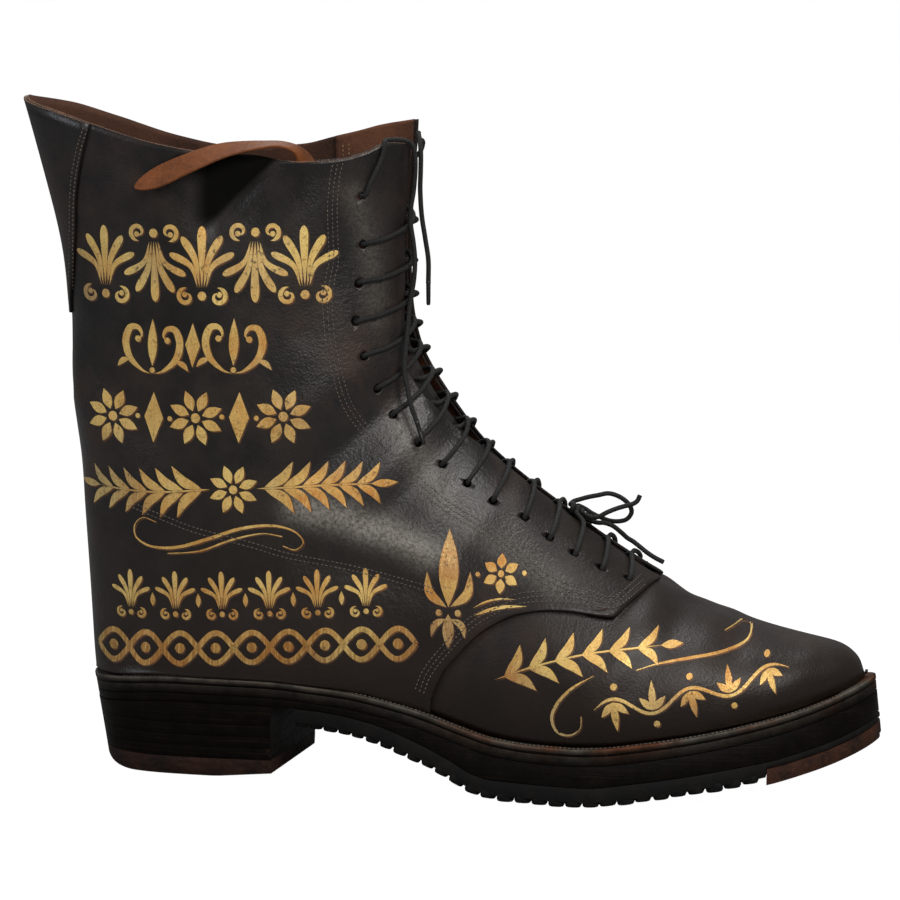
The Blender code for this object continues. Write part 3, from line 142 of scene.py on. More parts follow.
scene.world = bpy.data.worlds.new("white_room")
scene.world.use_nodes = True
tree = scene.world.node_tree
tree.nodes.clear()
rays = tree.nodes.new("ShaderNodeLightPath")
dim, white = (tree.nodes.new("ShaderNodeBackground") for _ in range(2))
dim.inputs["Strength"].default_value = WORLD_LIGHT
for background in (dim, white):
    background.inputs["Color"].default_value = (1, 1, 1, 1)
result = tree.nodes.new("ShaderNodeOutputWorld")
mix_shaders(tree, rays.outputs["Is Camera Ray"], dim.outputs[0], white.outputs[0], result.inputs[0])
scene.view_settings.view_transform = "Standard"

corners = [(x * FLOOR_REACH, y * FLOOR_REACH, -FLOOR_DROP) for x, y in ((-1, -1), (1, -1), (1, 1), (-1, 1))]
floor = add_mesh("floor", corners, [], [(0, 1, 2, 3)])
print("lamps:", len(LAMPS))

# %% [markdown]
# ## Shader maths that reads like maths
#
# A material is a graph of nodes, and a graph made one node at a time is hard to read. One small class wraps an output
# socket, so that `mask * 0.5` adds a Math node by itself. Another one makes a material with its shader and has one
# method for every other node. Each finish then takes a few lines.

# %% A socket that can be calculated with
def operator(name):
    """A method that joins a wire and another wire or number by a Math node."""
    return lambda wire, other: wire.finish.node("ShaderNodeMath", {"operation": name}, {0: wire, 1: other})


class Wire:
    def __init__(self, finish, socket):
        self.finish, self.socket = finish, socket

    __add__, __sub__ = operator("ADD"), operator("SUBTRACT")
    __mul__, __truediv__ = operator("MULTIPLY"), operator("DIVIDE")

    def between(self, low, high):
        """0 below low, 1 above high and a straight ramp between them; low may be the larger one."""
        settings = {"clamp": True, "interpolation_type": "LINEAR"}
        return self.finish.node("ShaderNodeMapRange", settings, {0: self, 1: low, 2: high, 3: 0.0, 4: 1.0})


# %% A finish and its nodes
class Finish:
    def __init__(self, name, roughness=0.5, metallic=0.0):
        self.material = bpy.data.materials.new(name)
        self.material.use_nodes = True
        self.tree = self.material.node_tree
        self.shader = self.tree.nodes["Principled BSDF"]
        self.set(Roughness=roughness, Metallic=metallic)
        self.place = self.node("ShaderNodeTexCoord", output="Object")

    def node(self, kind, settings=None, inputs=None, output=0):
        made = self.tree.nodes.new(kind)
        for key, value in (settings or {}).items():
            setattr(made, key, value)
        for key, value in (inputs or {}).items():
            self.join(value, made.inputs[key])
        return Wire(self, made.outputs[output])

    def join(self, value, socket):
        """Links a wire to a socket, or sets the socket's value."""
        if isinstance(value, Wire):
            self.tree.links.new(value.socket, socket)
        elif isinstance(value, tuple) and socket.type == "RGBA":
            socket.default_value = (*value, 1)
        else:
            socket.default_value = value

    def set(self, **inputs):
        for key, value in inputs.items():
            self.join(value, self.shader.inputs[key.replace("_", " ")])

    def noise(self, scale, detail=3.0, rough=0.55, place=None):
        inputs = {"Vector": place or self.place, "Scale": scale, "Detail": detail, "Roughness": rough}
        return self.node("ShaderNodeTexNoise", None, inputs, "Fac")

    def cells(self, scale, feature="F1", spread=1.0):
        inputs = {"Vector": self.place, "Scale": scale, "Randomness": spread}
        return self.node("ShaderNodeTexVoronoi", {"feature": feature}, inputs, "Distance")

    def stretched_noise(self, scales, detail):
        """Noise with a scale of its own for each axis."""
        place = self.node("ShaderNodeMapping", None, {"Vector": self.place, "Scale": scales})
        return self.noise(1.0, detail, 0.6, place)

    def layered(self, colour, *layers):
        """A colour with (mask, colour) layers on it, each over the one before."""
        for mask, other in layers:
            colour = self.node("ShaderNodeMix", {"data_type": "RGBA"}, {0: mask, 6: colour, 7: other}, 2)
        return colour

    def mix_over(self, mask, other):
        """Shows another shader where the mask is 1."""
        surface = self.tree.nodes["Material Output"].inputs["Surface"]
        mix_shaders(self.tree, mask.socket, self.shader.outputs[0], other.outputs[0], surface)

    def attribute(self, name):
        return self.node("ShaderNodeAttribute", {"attribute_name": name}, None, "Fac")

    def axes(self):
        """The place of a point along the boot, across it and above the floor, in metres."""
        return [self.node("ShaderNodeSeparateXYZ", None, {"Vector": self.place}, axis) for axis in "XYZ"]

    def bumps(self, *layers):
        """Bumps from (height, depth in metres) pairs, each on top of the one before."""
        wire = None
        for height, depth in layers:
            inputs = {"Height": height, "Distance": depth, "Strength": 1.0}
            if wire:
                inputs["Normal"] = wire
            wire = self.node("ShaderNodeBump", None, inputs)
        self.set(Normal=wire)
        return self


def srgb(*screen):
    """A colour as picked from a screen, 0 to 255, in the linear values that a shader takes."""
    shares = [value / 255 for value in screen]
    return tuple(v / 12.92 if v <= 0.04045 else ((v + 0.055) / 1.055) ** 2.4 for v in shares)


# %% The floor's white
FLOOR_GREY, FLOOR_GLOW, FLOOR_GLOW_SHARE = (0.25, 0.25, 0.25), 1.24, 0.8
floor_paint = Finish("floor_white", 0.9)
floor_paint.set(Base_Color=FLOOR_GREY)
glow = floor_paint.tree.nodes.new("ShaderNodeEmission")
glow.inputs["Strength"].default_value = FLOOR_GLOW
floor_paint.mix_over(floor_paint.node("ShaderNodeLightPath", output="Is Camera Ray") * FLOOR_GLOW_SHARE, glow)
floor.data.materials.append(floor_paint.material)

# %% [markdown]
# ## The leathers
#
# The upper is black waxed cowhide that has been handled for years. Its grain is a net of small cells, so a Voronoi
# texture gives the height, with a finer noise over it. Wax is thinner where the hide was rubbed, so large soft noise
# mixes warm brown into the black and makes those places shine less. Towards the sole the hide is browner, and painted
# shade darkens it there and takes away its shine. An attribute, painted onto the mesh later, says where old wax has
# bloomed grey; that grey is also a painted sheen highlight. The hollow behind the strap is painted shade, dark and
# dull:
# its slanted edge is sharper than the mesh is fine, so the shader works it out from the place of each point. The flesh
# side of the same hide is brown and dry.

# %% Black grain leather
# Painted shade in the hollow behind the strap: the ends of its slanted edge in the side view, and its softness
HOLLOW_TOP, HOLLOW_FOOT = (79 * MM, 590 * MM), (24 * MM, 524 * MM)
HOLLOW_SOFTNESS, HOLLOW_BLUR, HOLLOW_BLUR_DROP = 4 * MM, 11 * MM, 90 * MM


def painted_hollow_shade(hide):
    """1 in the hollow behind the strap, on the outer side, and 0 elsewhere; its edge is softer lower down."""
    x, y, z = hide.axes()
    (x0, z0), (x1, z1) = HOLLOW_TOP, HOLLOW_FOOT
    length = math.hypot(x1 - x0, z1 - z0)
    beyond = (x - x0) * ((z1 - z0) / length) - (z - z0) * ((x1 - x0) / length)
    inside = (beyond / (z.between(z0, z0 - HOLLOW_BLUR_DROP) * HOLLOW_BLUR + HOLLOW_SOFTNESS)).between(0, 1)
    inside = inside * x.between(-6 * MM, 14 * MM) * z.between(508 * MM, 536 * MM)
    return inside * y.between(MM, -MM)


def black_leather(name, shine, pebbles):
    """Waxed black hide; its pebbles show in large soft patches."""
    hide = Finish(name)
    patches, rubbed = hide.noise(6.0, 4.0, 0.6), hide.noise(19.0, 5.0, 0.65)
    fine, specks = hide.noise(260.0, 3.0, 0.6), hide.noise(330.0, 5.0, 0.75)
    height = hide.axes()[2]
    # Painted shade towards the sole: a darker colour, and low down a dull dark surface mixed over the hide
    low = height.between(0.15, 0.06)
    # Painted shade in the hollow behind the strap
    hollow_shade = painted_hollow_shade(hide)
    base = hide.layered(
        srgb(17, 15, 14),
        (rubbed.between(0.3, 0.75), srgb(33, 28, 25)),
        (hide.noise(3.1, 2.0, 0.5).between(0.45, 0.65) * 0.5, srgb(29, 29, 33)),
        (patches.between(0.46, 0.68) * rubbed.between(0.4, 0.62) * 0.85, srgb(56, 37, 25)),
        (fine.between(0.62, 0.8) * 0.3, srgb(52, 45, 41)),
        (height.between(0.3, 0.06) * 0.75, srgb(36, 22, 11)),
        # painted shade near the sole
        (low * 0.5, srgb(24, 15, 7)),
        # grey wax bloom, which is also a painted sheen highlight
        (hide.attribute("sheen_and_bloom") * (specks.between(0.4, 0.58) * 0.6 + 0.25), srgb(134, 128, 120)),
        # painted shade in the hollow behind the strap
        (hollow_shade * 0.9, srgb(7, 7, 6)),
    )
    roughness = rubbed.between(0.35, 0.7) * 0.14 + shine + fine * 0.06 + hollow_shade * 0.45
    hide.set(Base_Color=base, Roughness=roughness, Specular_IOR_Level=0.4)
    # A dull dark surface mixed over the hollow behind the strap and over the lowest part: painted shade
    painted_shade_surface = hide.tree.nodes.new("ShaderNodeBsdfDiffuse")
    painted_shade_surface.inputs["Color"].default_value = (*srgb(9, 9, 8), 1)
    hide.mix_over(hollow_shade * 0.85 + low * 0.4, painted_shade_surface)
    pores = hide.cells(190.0, spread=0.9) * hide.noise(2.4, 2.0, 0.5).between(0.42, 0.6)
    return hide.bumps((hide.cells(430.0), 0.00018), (pores, 0.0003 * pebbles), (fine, 0.00016),
                      (rubbed, 0.0005 * pebbles))


leather = black_leather("black_leather", 0.3, 1.0)
toe_leather = black_leather("toe_leather", 0.36, 0.35)


# %% Brown flesh side, strap and cut edges
def brown_leather(name, light, dark, roughness):
    hide = Finish(name)
    stains, fibres = hide.noise(14.0, 5.0, 0.62), hide.noise(420.0, 4.0, 0.7)
    base = hide.layered(
        dark,
        (stains.between(0.36, 0.68), light),
        (fibres.between(0.5, 0.75) * 0.5, tuple(v * 1.4 for v in light)),
        (hide.stretched_noise((30, 30, 160), 4.0).between(0.55, 0.75) * 0.4, tuple(v * 0.5 for v in dark)),
    )
    hide.set(Base_Color=base, Roughness=fibres * 0.16 + (roughness - 0.08), Specular_IOR_Level=0.22)
    return hide.bumps((fibres, 0.0006), (stains, 0.002))


flesh_side = brown_leather("brown_flesh_side", srgb(74, 45, 30), srgb(46, 28, 20), 0.8)
facing_hide = brown_leather("facing_leather", srgb(104, 66, 45), srgb(72, 44, 31), 0.74)
strap_hide = brown_leather("strap_leather", srgb(124, 70, 33), srgb(76, 40, 18), 0.6)
cut_edge = brown_leather("cut_edge", srgb(104, 72, 50), srgb(50, 35, 27), 0.8)
dark_edge = brown_leather("inked_edge", srgb(34, 27, 24), srgb(17, 14, 13), 0.7)
raw_filler = brown_leather("raw_filler", srgb(150, 120, 84), srgb(120, 92, 62), 0.85)


# %% Sole leather, worn heel piece and iron
def sole_edge(name, wear):
    """Stacked leather with its edge inked black, rubbed to grey and brown where the mesh says so."""
    edge = Finish(name)
    scuffs, patches = edge.noise(60.0, 6.0, 0.7), edge.noise(11.0, 3.0, 0.5)
    lines = edge.stretched_noise((9, 9, 700), 3.0)
    forepart = edge.axes()[0].between(0.2, 0.36)
    browned = patches.between(0.48, 0.58) * (forepart * 0.85 + 0.15)
    bare = edge.layered(srgb(96, 91, 84), (browned, srgb(100, 62, 42)))
    base = edge.layered(
        srgb(7, 5, 3),
        (scuffs.between(0.4, 0.7), srgb(15, 11, 7)),
        (lines.between(0.56, 0.72) * 0.35, srgb(38, 28, 19)),
        (scuffs.between(0.64, 0.7) * patches.between(0.5, 0.6) * wear, srgb(70, 54, 44)),
        (edge.attribute("rubbed") * (scuffs.between(0.35, 0.6) * 0.6 + 0.35), bare),
    )
    edge.set(Base_Color=base, Roughness=scuffs * 0.3 + 0.4, Specular_IOR_Level=0.07)
    return edge.bumps((scuffs, 0.0010), (lines, 0.0003))


def worn_red(name, metallic, dark, light, spots):
    """Red brown wear: a rusted iron plate, or heel leather walked through its black."""
    wear = Finish(name, metallic=metallic)
    blotches, grit = wear.noise(26.0, 6.0, 0.68), wear.noise(300.0, 4.0, 0.7)
    base = wear.layered(dark, (blotches.between(0.36, 0.64), light), (grit.between(0.55, 0.78) * 0.6, spots))
    wear.set(Base_Color=base, Roughness=grit * 0.25 + 0.6, Specular_IOR_Level=0.2)
    return wear.bumps((wear.cells(150.0), 0.0008), (grit, 0.0007), (blotches, 0.002))


sole_black = sole_edge("sole_edge", 0.3)
welt_worn = sole_edge("welt_edge", 0.7)
heel_worn = worn_red("worn_heel_leather", 0.0, srgb(22, 13, 9), srgb(48, 26, 17), srgb(66, 42, 28))
iron = worn_red("rusty_iron", 0.3, srgb(28, 20, 17), srgb(70, 41, 29), srgb(100, 66, 46))

# %% Rubber, laces, thread and steel
tread_black = Finish("tread_rubber")
dust = tread_black.noise(40.0, 5.0, 0.65)
tread_black.set(Base_Color=tread_black.layered(srgb(11, 10, 10), (dust.between(0.45, 0.75), srgb(24, 21, 19))),
                Roughness=dust * 0.25 + 0.62, Specular_IOR_Level=0.15)
tread_black.bumps((dust, 0.0015), (tread_black.noise(380.0), 0.0004))

lace_black = Finish("lace_cord", 0.8)
strands = lace_black.cells(620.0)
lace_black.set(Base_Color=lace_black.layered(srgb(17, 16, 15), (strands.between(0.1, 0.7), srgb(8, 7, 7))))
lace_black.bumps((strands, 0.0006))

tip_black = Finish("lace_tip", 0.3)
tip_black.set(Base_Color=srgb(20, 19, 19))
tip_black.bumps((tip_black.noise(240.0), 0.0002))


def twisted_thread(name, dark, light, roughness):
    made = Finish(name, roughness)
    made.set(Base_Color=made.layered(dark, (made.noise(900.0, 2.0).between(0.4, 0.6), light)))
    return made


thread_grey = twisted_thread("waxed_thread", srgb(58, 51, 47), srgb(106, 96, 86), 0.6)
thread_tan = twisted_thread("lining_thread", srgb(104, 76, 54), srgb(150, 116, 84), 0.7)
steel = Finish("shank_steel", 0.4, 1.0)
steel.set(Base_Color=srgb(150, 150, 152))

# %% Gold leaf, old and cracked, and the painted drop shade under it
gold_leaf = Finish("gold_leaf", metallic=0.35)
tone, dull, chips = gold_leaf.noise(11.0, 4.0, 0.6), gold_leaf.noise(7.0, 3.0, 0.5), gold_leaf.noise(210.0, 5.0, 0.7)
streaks = gold_leaf.stretched_noise((520, 520, 26), 3.0)
cracks = gold_leaf.cells(330.0, "DISTANCE_TO_EDGE")
x, y, z = gold_leaf.axes()
# Painted shade: the gold on the lowest rows, on the foot, is darker orange brown
painted_low_rows_shade = z.between(0.2, 0.12) * x.between(0.34, 0.24)
gold = gold_leaf.layered(
    srgb(196, 136, 62),
    (tone.between(0.38, 0.62), srgb(234, 200, 118)),
    (dull.between(0.5, 0.66) * 0.7, srgb(166, 144, 108)),
    (streaks.between(0.5, 0.7) * 0.4, srgb(236, 212, 146)),
    # painted shade on the lowest rows
    (painted_low_rows_shade * (streaks.between(0.6, 0.4) * 0.45 + 0.3), srgb(124, 78, 32)),
    (cracks.between(0.035, 0.012) * 0.55, srgb(92, 60, 28)),
    (chips.between(0.57, 0.65) * (dull.between(0.45, 0.65) * 0.6 + 0.4), srgb(44, 34, 28)),
)
gold_leaf.set(Base_Color=gold, Roughness=chips * 0.25 + 0.36)
gold_leaf.bumps((chips, 0.0004), (cracks.between(0.0, 0.05), 0.0001))

gilt_shade = Finish("gilt_shade", 0.6)
mottled = gilt_shade.noise(60.0, 4.0, 0.65).between(0.35, 0.6)
gilt_shade.set(Base_Color=gilt_shade.layered(srgb(104, 62, 26), (mottled, srgb(52, 34, 22))))

# %% Each CAD node's finish
LOOKS = {
    "black_leather": leather, "brown_leather": flesh_side, "strap_leather": strap_hide, "sole_leather": sole_black,
    "filler": raw_filler, "worn_sole_leather": heel_worn, "tread_rubber": tread_black, "rusty_iron": iron,
    "shank_steel": steel, "lace": lace_black, "lace_tip": tip_black,
}
NODE_LOOKS = {"welt": welt_worn, "outer_facing": facing_hide, "inner_facing": facing_hide}
slot_of = {part["node"]: part["material_slot"] for part in frame["record"]["subparts"]}
for name, node in nodes.items():
    node.data.materials.clear()
    node.data.materials.append(NODE_LOOKS.get(name, LOOKS[slot_of[name]]).material)
print("finishes:", len(bpy.data.materials))

# %% [markdown]
# ## One surface under all the leather
#
# A shoemaker pulls the leather over a wooden last, so every panel follows one surface. The same is done here. At each
# station along the boot a ruling runs from the ridge in front to the foot of the upper, or to the back seam, and a
# superellipse bulges it out sideways. Any place on the boot is then a station and a share of its ruling. The numbers
# are the CAD model's own, so that the finer leather lies where its solids are.

# %% Guide curves, in mm
RIDGE = [(638.5, 117), (637, 124), (630, 133), (615, 142.5), (589, 147), (541, 156.5), (490, 174), (444, 197),
         (397, 224.5), (349, 258), (307, 289), (273, 319), (247, 350), (230, 373), (218, 393), (209, 411), (203, 428),
         (199.5, 444), (197.5, 459), (196.5, 474), (196, 491), (196, 512), (196, 530), (196.5, 547), (197.5, 564),
         (198.5, 583), (200, 605), (201, 640)]
FOOT_X = [639, 636, 626, 607, 578, 528, 476, 424, 366, 301, 236, 166, 98, 42, -6, -42, -68, -86, -94.5, -97, -100.5,
          -108, -113.5, -123.5, -124.5, -129.5, -147, -178]
FULLNESS = [0.86, 0.86, 0.86, 0.86, 0.87, 0.90, 0.95, 1.0, 1.02, 1.0, 1.0, 1.0, 0.98, 0.96, 0.95, 0.95, 0.94, 0.94,
            0.93, 0.93, 0.92, 0.92, 0.92, 0.92, 0.92, 0.92, 0.92, 0.92]
BACK_SEAM = [(-97, 88), (-100.5, 150), (-108, 225), (-113.5, 295), (-123.5, 362), (-124.5, 425), (-129.5, 487),
             (-147, 553), (-178, 660)]
SHAFT_WIDTH = {OUTER: [88, 86, 84, 83, 83, 84, 85, 86, 87], INNER: [87, 85, 83, 82, 82, 83, 84, 85, 86]}
WELT_EDGE = {
    OUTER: [(-100.5, 0), (-92, 40), (-72, 68), (-35, 86), (20, 91), (80, 89), (150, 87), (220, 95), (290, 114),
            (350, 128), (400, 132), (450, 129), (500, 119), (550, 100), (590, 77), (625, 47), (642, 24), (649, 0)],
    INNER: [(-100.5, 0), (-92, 40), (-72, 68), (-35, 86), (20, 90), (80, 84), (150, 74), (220, 80), (290, 103),
            (350, 124), (400, 133), (450, 131), (500, 118), (550, 96), (590, 70), (625, 42), (642, 21), (649, 0)],
}
WELT_TOP = [(-105, 84.5), (-75, 90.4), (-7, 97), (57, 96.5), (84, 95.7), (121, 92.4), (157, 89), (189, 83.5),
            (223, 76.5), (271, 63.5), (300, 57), (336, 54.6), (373, 54.4), (401, 56), (436, 61), (493, 70.5),
            (551, 82.5), (596, 94.5), (630, 106.5), (660, 119)]
print("stations:", len(RIDGE))


# %% Curves through points
def through(points, mirrored=False, scale=MM):
    """A smooth curve through points, for an array of parameters from 0 to the last point's number."""
    data = np.array(points, float).reshape(len(points), -1) * scale
    if mirrored:
        first, last = data[1] * (1, -1), data[-2] * (1, -1)
    else:
        first, last = 2 * data[0] - data[1], 2 * data[-1] - data[-2]
    full = np.vstack([first, data, last])
    count = len(data)

    def at(values):
        values = np.clip(values, 0, count - 1)
        i = np.minimum(values.astype(int), count - 2)
        s = (values - i)[..., None]
        a, b, c, d = (full[i + k] for k in range(4))
        return 0.5 * (2 * b + (c - a) * s + (2 * a - 5 * b + 4 * c - d) * s**2 + (3 * b - 3 * c + d - a) * s**3)

    return at


def traced(points, count, mirrored=False):
    """Places on the smooth curve through points, at even parameters."""
    return through(points, mirrored)(np.linspace(0, len(points) - 1, count))


def evenly(line, spacing, least, extra):
    """A line's length, and places along it about a spacing apart."""
    runs = np.r_[0, np.cumsum(np.linalg.norm(np.diff(line, axis=0), axis=1))]
    steps = np.linspace(0, runs[-1], max(int(runs[-1] / spacing), least) + extra)
    return float(runs[-1]), np.stack([np.interp(steps, runs, axis) for axis in line.T], axis=1)


def steady(xs, ys):
    """A smooth curve y of x through points that never overshoots them."""
    xs, ys = np.array(xs, float), np.array(ys, float)
    step = np.diff(xs)
    slope = np.diff(ys) / step
    tangent = np.r_[slope[0], np.zeros(len(xs) - 2), slope[-1]]
    for i in range(1, len(xs) - 1):
        if slope[i - 1] * slope[i] > 0:
            w1, w2 = 2 * step[i] + step[i - 1], step[i] + 2 * step[i - 1]
            tangent[i] = (w1 + w2) / (w1 / slope[i - 1] + w2 / slope[i])

    def at(x):
        x = np.clip(x, xs[0], xs[-1])
        i = np.clip(np.searchsorted(xs, x) - 1, 0, len(xs) - 2)
        s = (x - xs[i]) / step[i]
        return (ys[i] * (1 + 2 * s) * (1 - s) ** 2 + tangent[i] * step[i] * s * (1 - s) ** 2
                + ys[i + 1] * s * s * (3 - 2 * s) + tangent[i + 1] * step[i] * s * s * (s - 1))

    return at


def ease(values):
    """0 below 0, 1 above 1 and a soft step between them."""
    values = np.clip(values, 0, 1)
    return values * values * (3 - 2 * values)


# %% Where the upper meets the sole
LEDGE_HEEL, LEDGE_FORE = 4.0 * MM, 10.0 * MM
WAIST_START, WAIST_LENGTH = 60, 180


def feather_edge(points):
    """The line on the welt where the upper meets it: the welt's edge, moved in by the ledge."""
    dense = traced(points, 600, mirrored=True)
    tangent = np.gradient(dense, axis=0)
    tangent /= np.linalg.norm(tangent, axis=1)[:, None]
    inset = LEDGE_HEEL + (LEDGE_FORE - LEDGE_HEEL) * ease((dense[:, 0] / MM - WAIST_START) / WAIST_LENGTH)
    return dense + np.stack([tangent[:, 1], -tangent[:, 0]], axis=1) * inset[:, None]


feather = {side: feather_edge(WELT_EDGE[side]) for side in SIDES}
welt_top = steady(*np.array(WELT_TOP).T * MM)
print("widest place of the upper's edge in mm:", round(float(feather[OUTER][:, 1].max() / MM), 1))

# %% Rulings from the ridge to the foot
HEEL_STATION, HEEL_BULGE_STATION, LAST_STATION = 19, 18.5, len(RIDGE) - 1
SEAM_HALF_GAP = 0.4 * MM
FOOT_CLEARANCE, FOOT_CLEARANCE_BACK = 1.1 * MM, 0.8 * MM
FOOT_RISE_START, FOOT_RISE_LENGTH = -70, 18
FOOT_BULGE, LEAST_BULGE, HEEL_ROUNDING = 1.035, 1.005, 0.2
SHAFT_START, SHAFT_BLEND = HEEL_STATION - 7, 4

ridge_at, back_seam_at, foot_x_at = through(RIDGE), through(BACK_SEAM), through(FOOT_X)
fullness_at = through(FULLNESS, scale=1)
shaft_width_at = {side: through(SHAFT_WIDTH[side]) for side in SIDES}


def foot_of(side, t):
    """The lower end of the rulings: x, z and half width."""
    on_seam = back_seam_at(t - HEEL_STATION)
    x = np.clip(foot_x_at(t)[..., 0], feather[side][0, 0], feather[side][-1, 0])
    width = np.maximum(np.interp(x, feather[side][:, 0], feather[side][:, 1]), SEAM_HALF_GAP)
    back = np.clip((FOOT_RISE_START - x / MM) / FOOT_RISE_LENGTH, 0, 1)
    z = welt_top(x) + FOOT_CLEARANCE + FOOT_CLEARANCE_BACK * back
    z = z + (BACK_SEAM[0][1] * MM - z) * np.clip(t - HEEL_STATION + 1, 0, 1) ** 3
    behind = t >= HEEL_STATION
    return (np.where(behind, on_seam[..., 0], x), np.where(behind, on_seam[..., 1], z),
            np.where(behind, SEAM_HALF_GAP, width))


def rulings(side, t):
    """Both ends of the rulings at stations t, the half widths there and how full each one bulges."""
    t = np.clip(t, 0, LAST_STATION)
    ridge, (foot_x, foot_z, foot_width) = ridge_at(t), foot_of(side, t)
    shaft = shaft_width_at[side](np.maximum(t - HEEL_STATION, 0))[..., 0]
    blend = ease((t - SHAFT_START) / SHAFT_BLEND)
    width = np.maximum(foot_width * FOOT_BULGE * (1 - blend) + shaft * blend, foot_width * LEAST_BULGE)
    full = fullness_at(t)[..., 0]
    rear = full * (1 - HEEL_ROUNDING * ease(1 - abs(t - HEEL_BULGE_STATION) / 4))
    end = math.pi - np.arcsin(np.minimum((foot_width / width) ** (1 / rear), 1))
    return ridge[..., 0], ridge[..., 1], foot_x, foot_z, width, full, rear, end


# %% The upper's surface, with the dent behind the strap
DENT_X, DENT_Z, DENT_DEPTH, DENT_FADE = 52, 572, 26 * MM, 40 * MM
DENT_LEAN, DENT_REACH, DENT_BELOW, DENT_ABOVE = 0.25, 34, 62, 60
FIRST_STATION, HALVINGS = 0.3, 44


def surface(side, t, u):
    """Places on the upper: t from the toe to the top, u from the ridge to the foot; both are arrays."""
    ridge_x, ridge_z, foot_x, foot_z, width, full, rear, end = rulings(side, t)
    angle = u * end
    share = (1 - np.cos(angle)) / (1 - np.cos(end))
    x, z = ridge_x + (foot_x - ridge_x) * share, ridge_z + (foot_z - ridge_z) * share
    y = width * np.maximum(np.sin(angle), 0) ** np.where(angle > math.pi / 2, rear, full)
    y = np.where(u > 0, y, 0)
    if side == OUTER:
        across, height = x / MM - DENT_X, z / MM - DENT_Z
        reach = np.where(height < 0, DENT_BELOW, DENT_ABOVE)
        sunk = DENT_DEPTH * np.exp(-((across - DENT_LEAN * height) / DENT_REACH) ** 2 - (height / reach) ** 2)
        y = y - sunk * np.minimum(y / DENT_FADE, 1)
    return np.stack([x, side * y, z], axis=-1)


def locate(side, x, z):
    """The stations and shares of places given in the side view."""
    x, z = np.asarray(x, float), np.asarray(z, float)

    def off_ruling(t):
        ridge_x, ridge_z, foot_x, foot_z = rulings(side, t)[:4]
        return (foot_x - ridge_x) * (z - ridge_z) - (foot_z - ridge_z) * (x - ridge_x)

    low, high = np.full(x.shape, FIRST_STATION), np.full(x.shape, float(LAST_STATION))
    start = off_ruling(low) > 0
    for _ in range(HALVINGS):
        middle = (low + high) / 2
        same = (off_ruling(middle) > 0) == start
        low, high = np.where(same, middle, low), np.where(same, high, middle)
    t = (low + high) / 2
    ridge_x, ridge_z, foot_x, foot_z, _, _, _, end = rulings(side, t)
    run_x, run_z = foot_x - ridge_x, foot_z - ridge_z
    share = np.clip(((x - ridge_x) * run_x + (z - ridge_z) * run_z) / (run_x**2 + run_z**2), 0, 1)
    return t, np.arccos(np.maximum(1 - share * (1 - np.cos(end)), -1)) / end


# %% The gap over the tongue, and the quarter's outlines
GAP_STATIONS = [6, 7.5, 10.5, 12, 14, 17, 20, 28]
GAP = {OUTER: [12, 12, 13, 27, 33, 27, 22, 22], INNER: [12, 12, 13, 16, 18, 20, 22, 22]}
gap_width = {side: steady(GAP_STATIONS, [g * MM for g in GAP[side]]) for side in SIDES}


def gap_share(side, t):
    """The share at which the facing's edge lies."""
    _, _, _, _, width, full, _, end = rulings(side, t)
    return np.arcsin(np.minimum((gap_width[side](t) / width) ** (1 / full), 1)) / end


def from_facing(side, t, share):
    """Places on the upper at stations and shares: 0 at the facing's edge, 1 at the foot."""
    edge = gap_share(side, t)
    return surface(side, t, edge + share * (1 - edge))


def shares_of(side, points):
    """The stations and shares of side view points in mm, the shares counted from the facing's edge."""
    t, u = locate(side, *(np.array(points).T * MM))
    edge = gap_share(side, t)
    return t, (u - edge) / (1 - edge)


def panel_line(side, outline):
    """A side view outline as stations over the quarter's share."""
    t, share = shares_of(side, outline)
    share[0], share[-1] = 0, 1
    order = np.argsort(share)
    return steady(share[order], t[order])


QUARTER_FRONT = [(443, 201), (436, 196.5), (428, 191), (419, 184), (411, 176.5), (406.5, 173.5), (400, 173.5),
                 (392, 174.5), (385, 175.5), (359, 178), (333, 176.5), (315, 172.5),
                 (296, 163), (280, 151.5), (262, 132), (246, 110.5), (238, 90), (235, 70)]
RIM = {
    OUTER: [(196, 604), (175, 605.5), (161, 598.5), (139, 592), (110, 589.5), (80, 589), (45, 592), (10, 596),
            (-42, 603.5), (-98, 617.5), (-140, 628), (-177, 636)],
    INNER: [(187, 622.5), (160, 613.5), (135, 605.5), (110, 598.5), (80, 590), (45, 585), (10, 585), (-42, 594),
            (-98, 612), (-140, 626), (-177, 636)],
}
quarter_low = {side: panel_line(side, QUARTER_FRONT) for side in RIM}
quarter_top = {side: panel_line(side, RIM[side]) for side in RIM}
print("stations of the back seam:", [round(float(line[OUTER](1.0)), 2) for line in (quarter_low, quarter_top)])

# %% [markdown]
# ## Leather panels
#
# A panel is cut from a hide, so it is a grid of places on the surface that gets its thickness by Solidify. Its outer
# face is black grain, its inner face is brown and its cut edge is inked, so each kind of face gets a material of its
# own; on the rim the edge is left bare.
# Creases aren't in the surface: they are pushed into the grid as shallow waves along listed lines, where a foot
# or a fall would fold the leather.

# %% Creases
CREASE_BOW, CREASE_FADE = 0.08, 0.15


def crease_field(side, points):
    """How far each place is pushed in or out by the creases, in metres."""
    x, z = points[..., 0] / MM, points[..., 2] / MM
    out = np.zeros(x.shape)
    for x0, z0, x1, z1, reach, depth in CREASES[side]:
        length = math.hypot(x1 - x0, z1 - z0)
        along = ((x - x0) * (x1 - x0) + (z - z0) * (z1 - z0)) / length
        off = ((x - x0) * (z1 - z0) - (z - z0) * (x1 - x0)) / length
        off = off + CREASE_BOW * along * (1 - along / length)
        fade = np.exp(-np.maximum(np.maximum(-along, along - length), 0) ** 2 / (CREASE_FADE * length) ** 2)
        out += depth * MM * fade * np.exp(-(off / reach) ** 2)
    return out


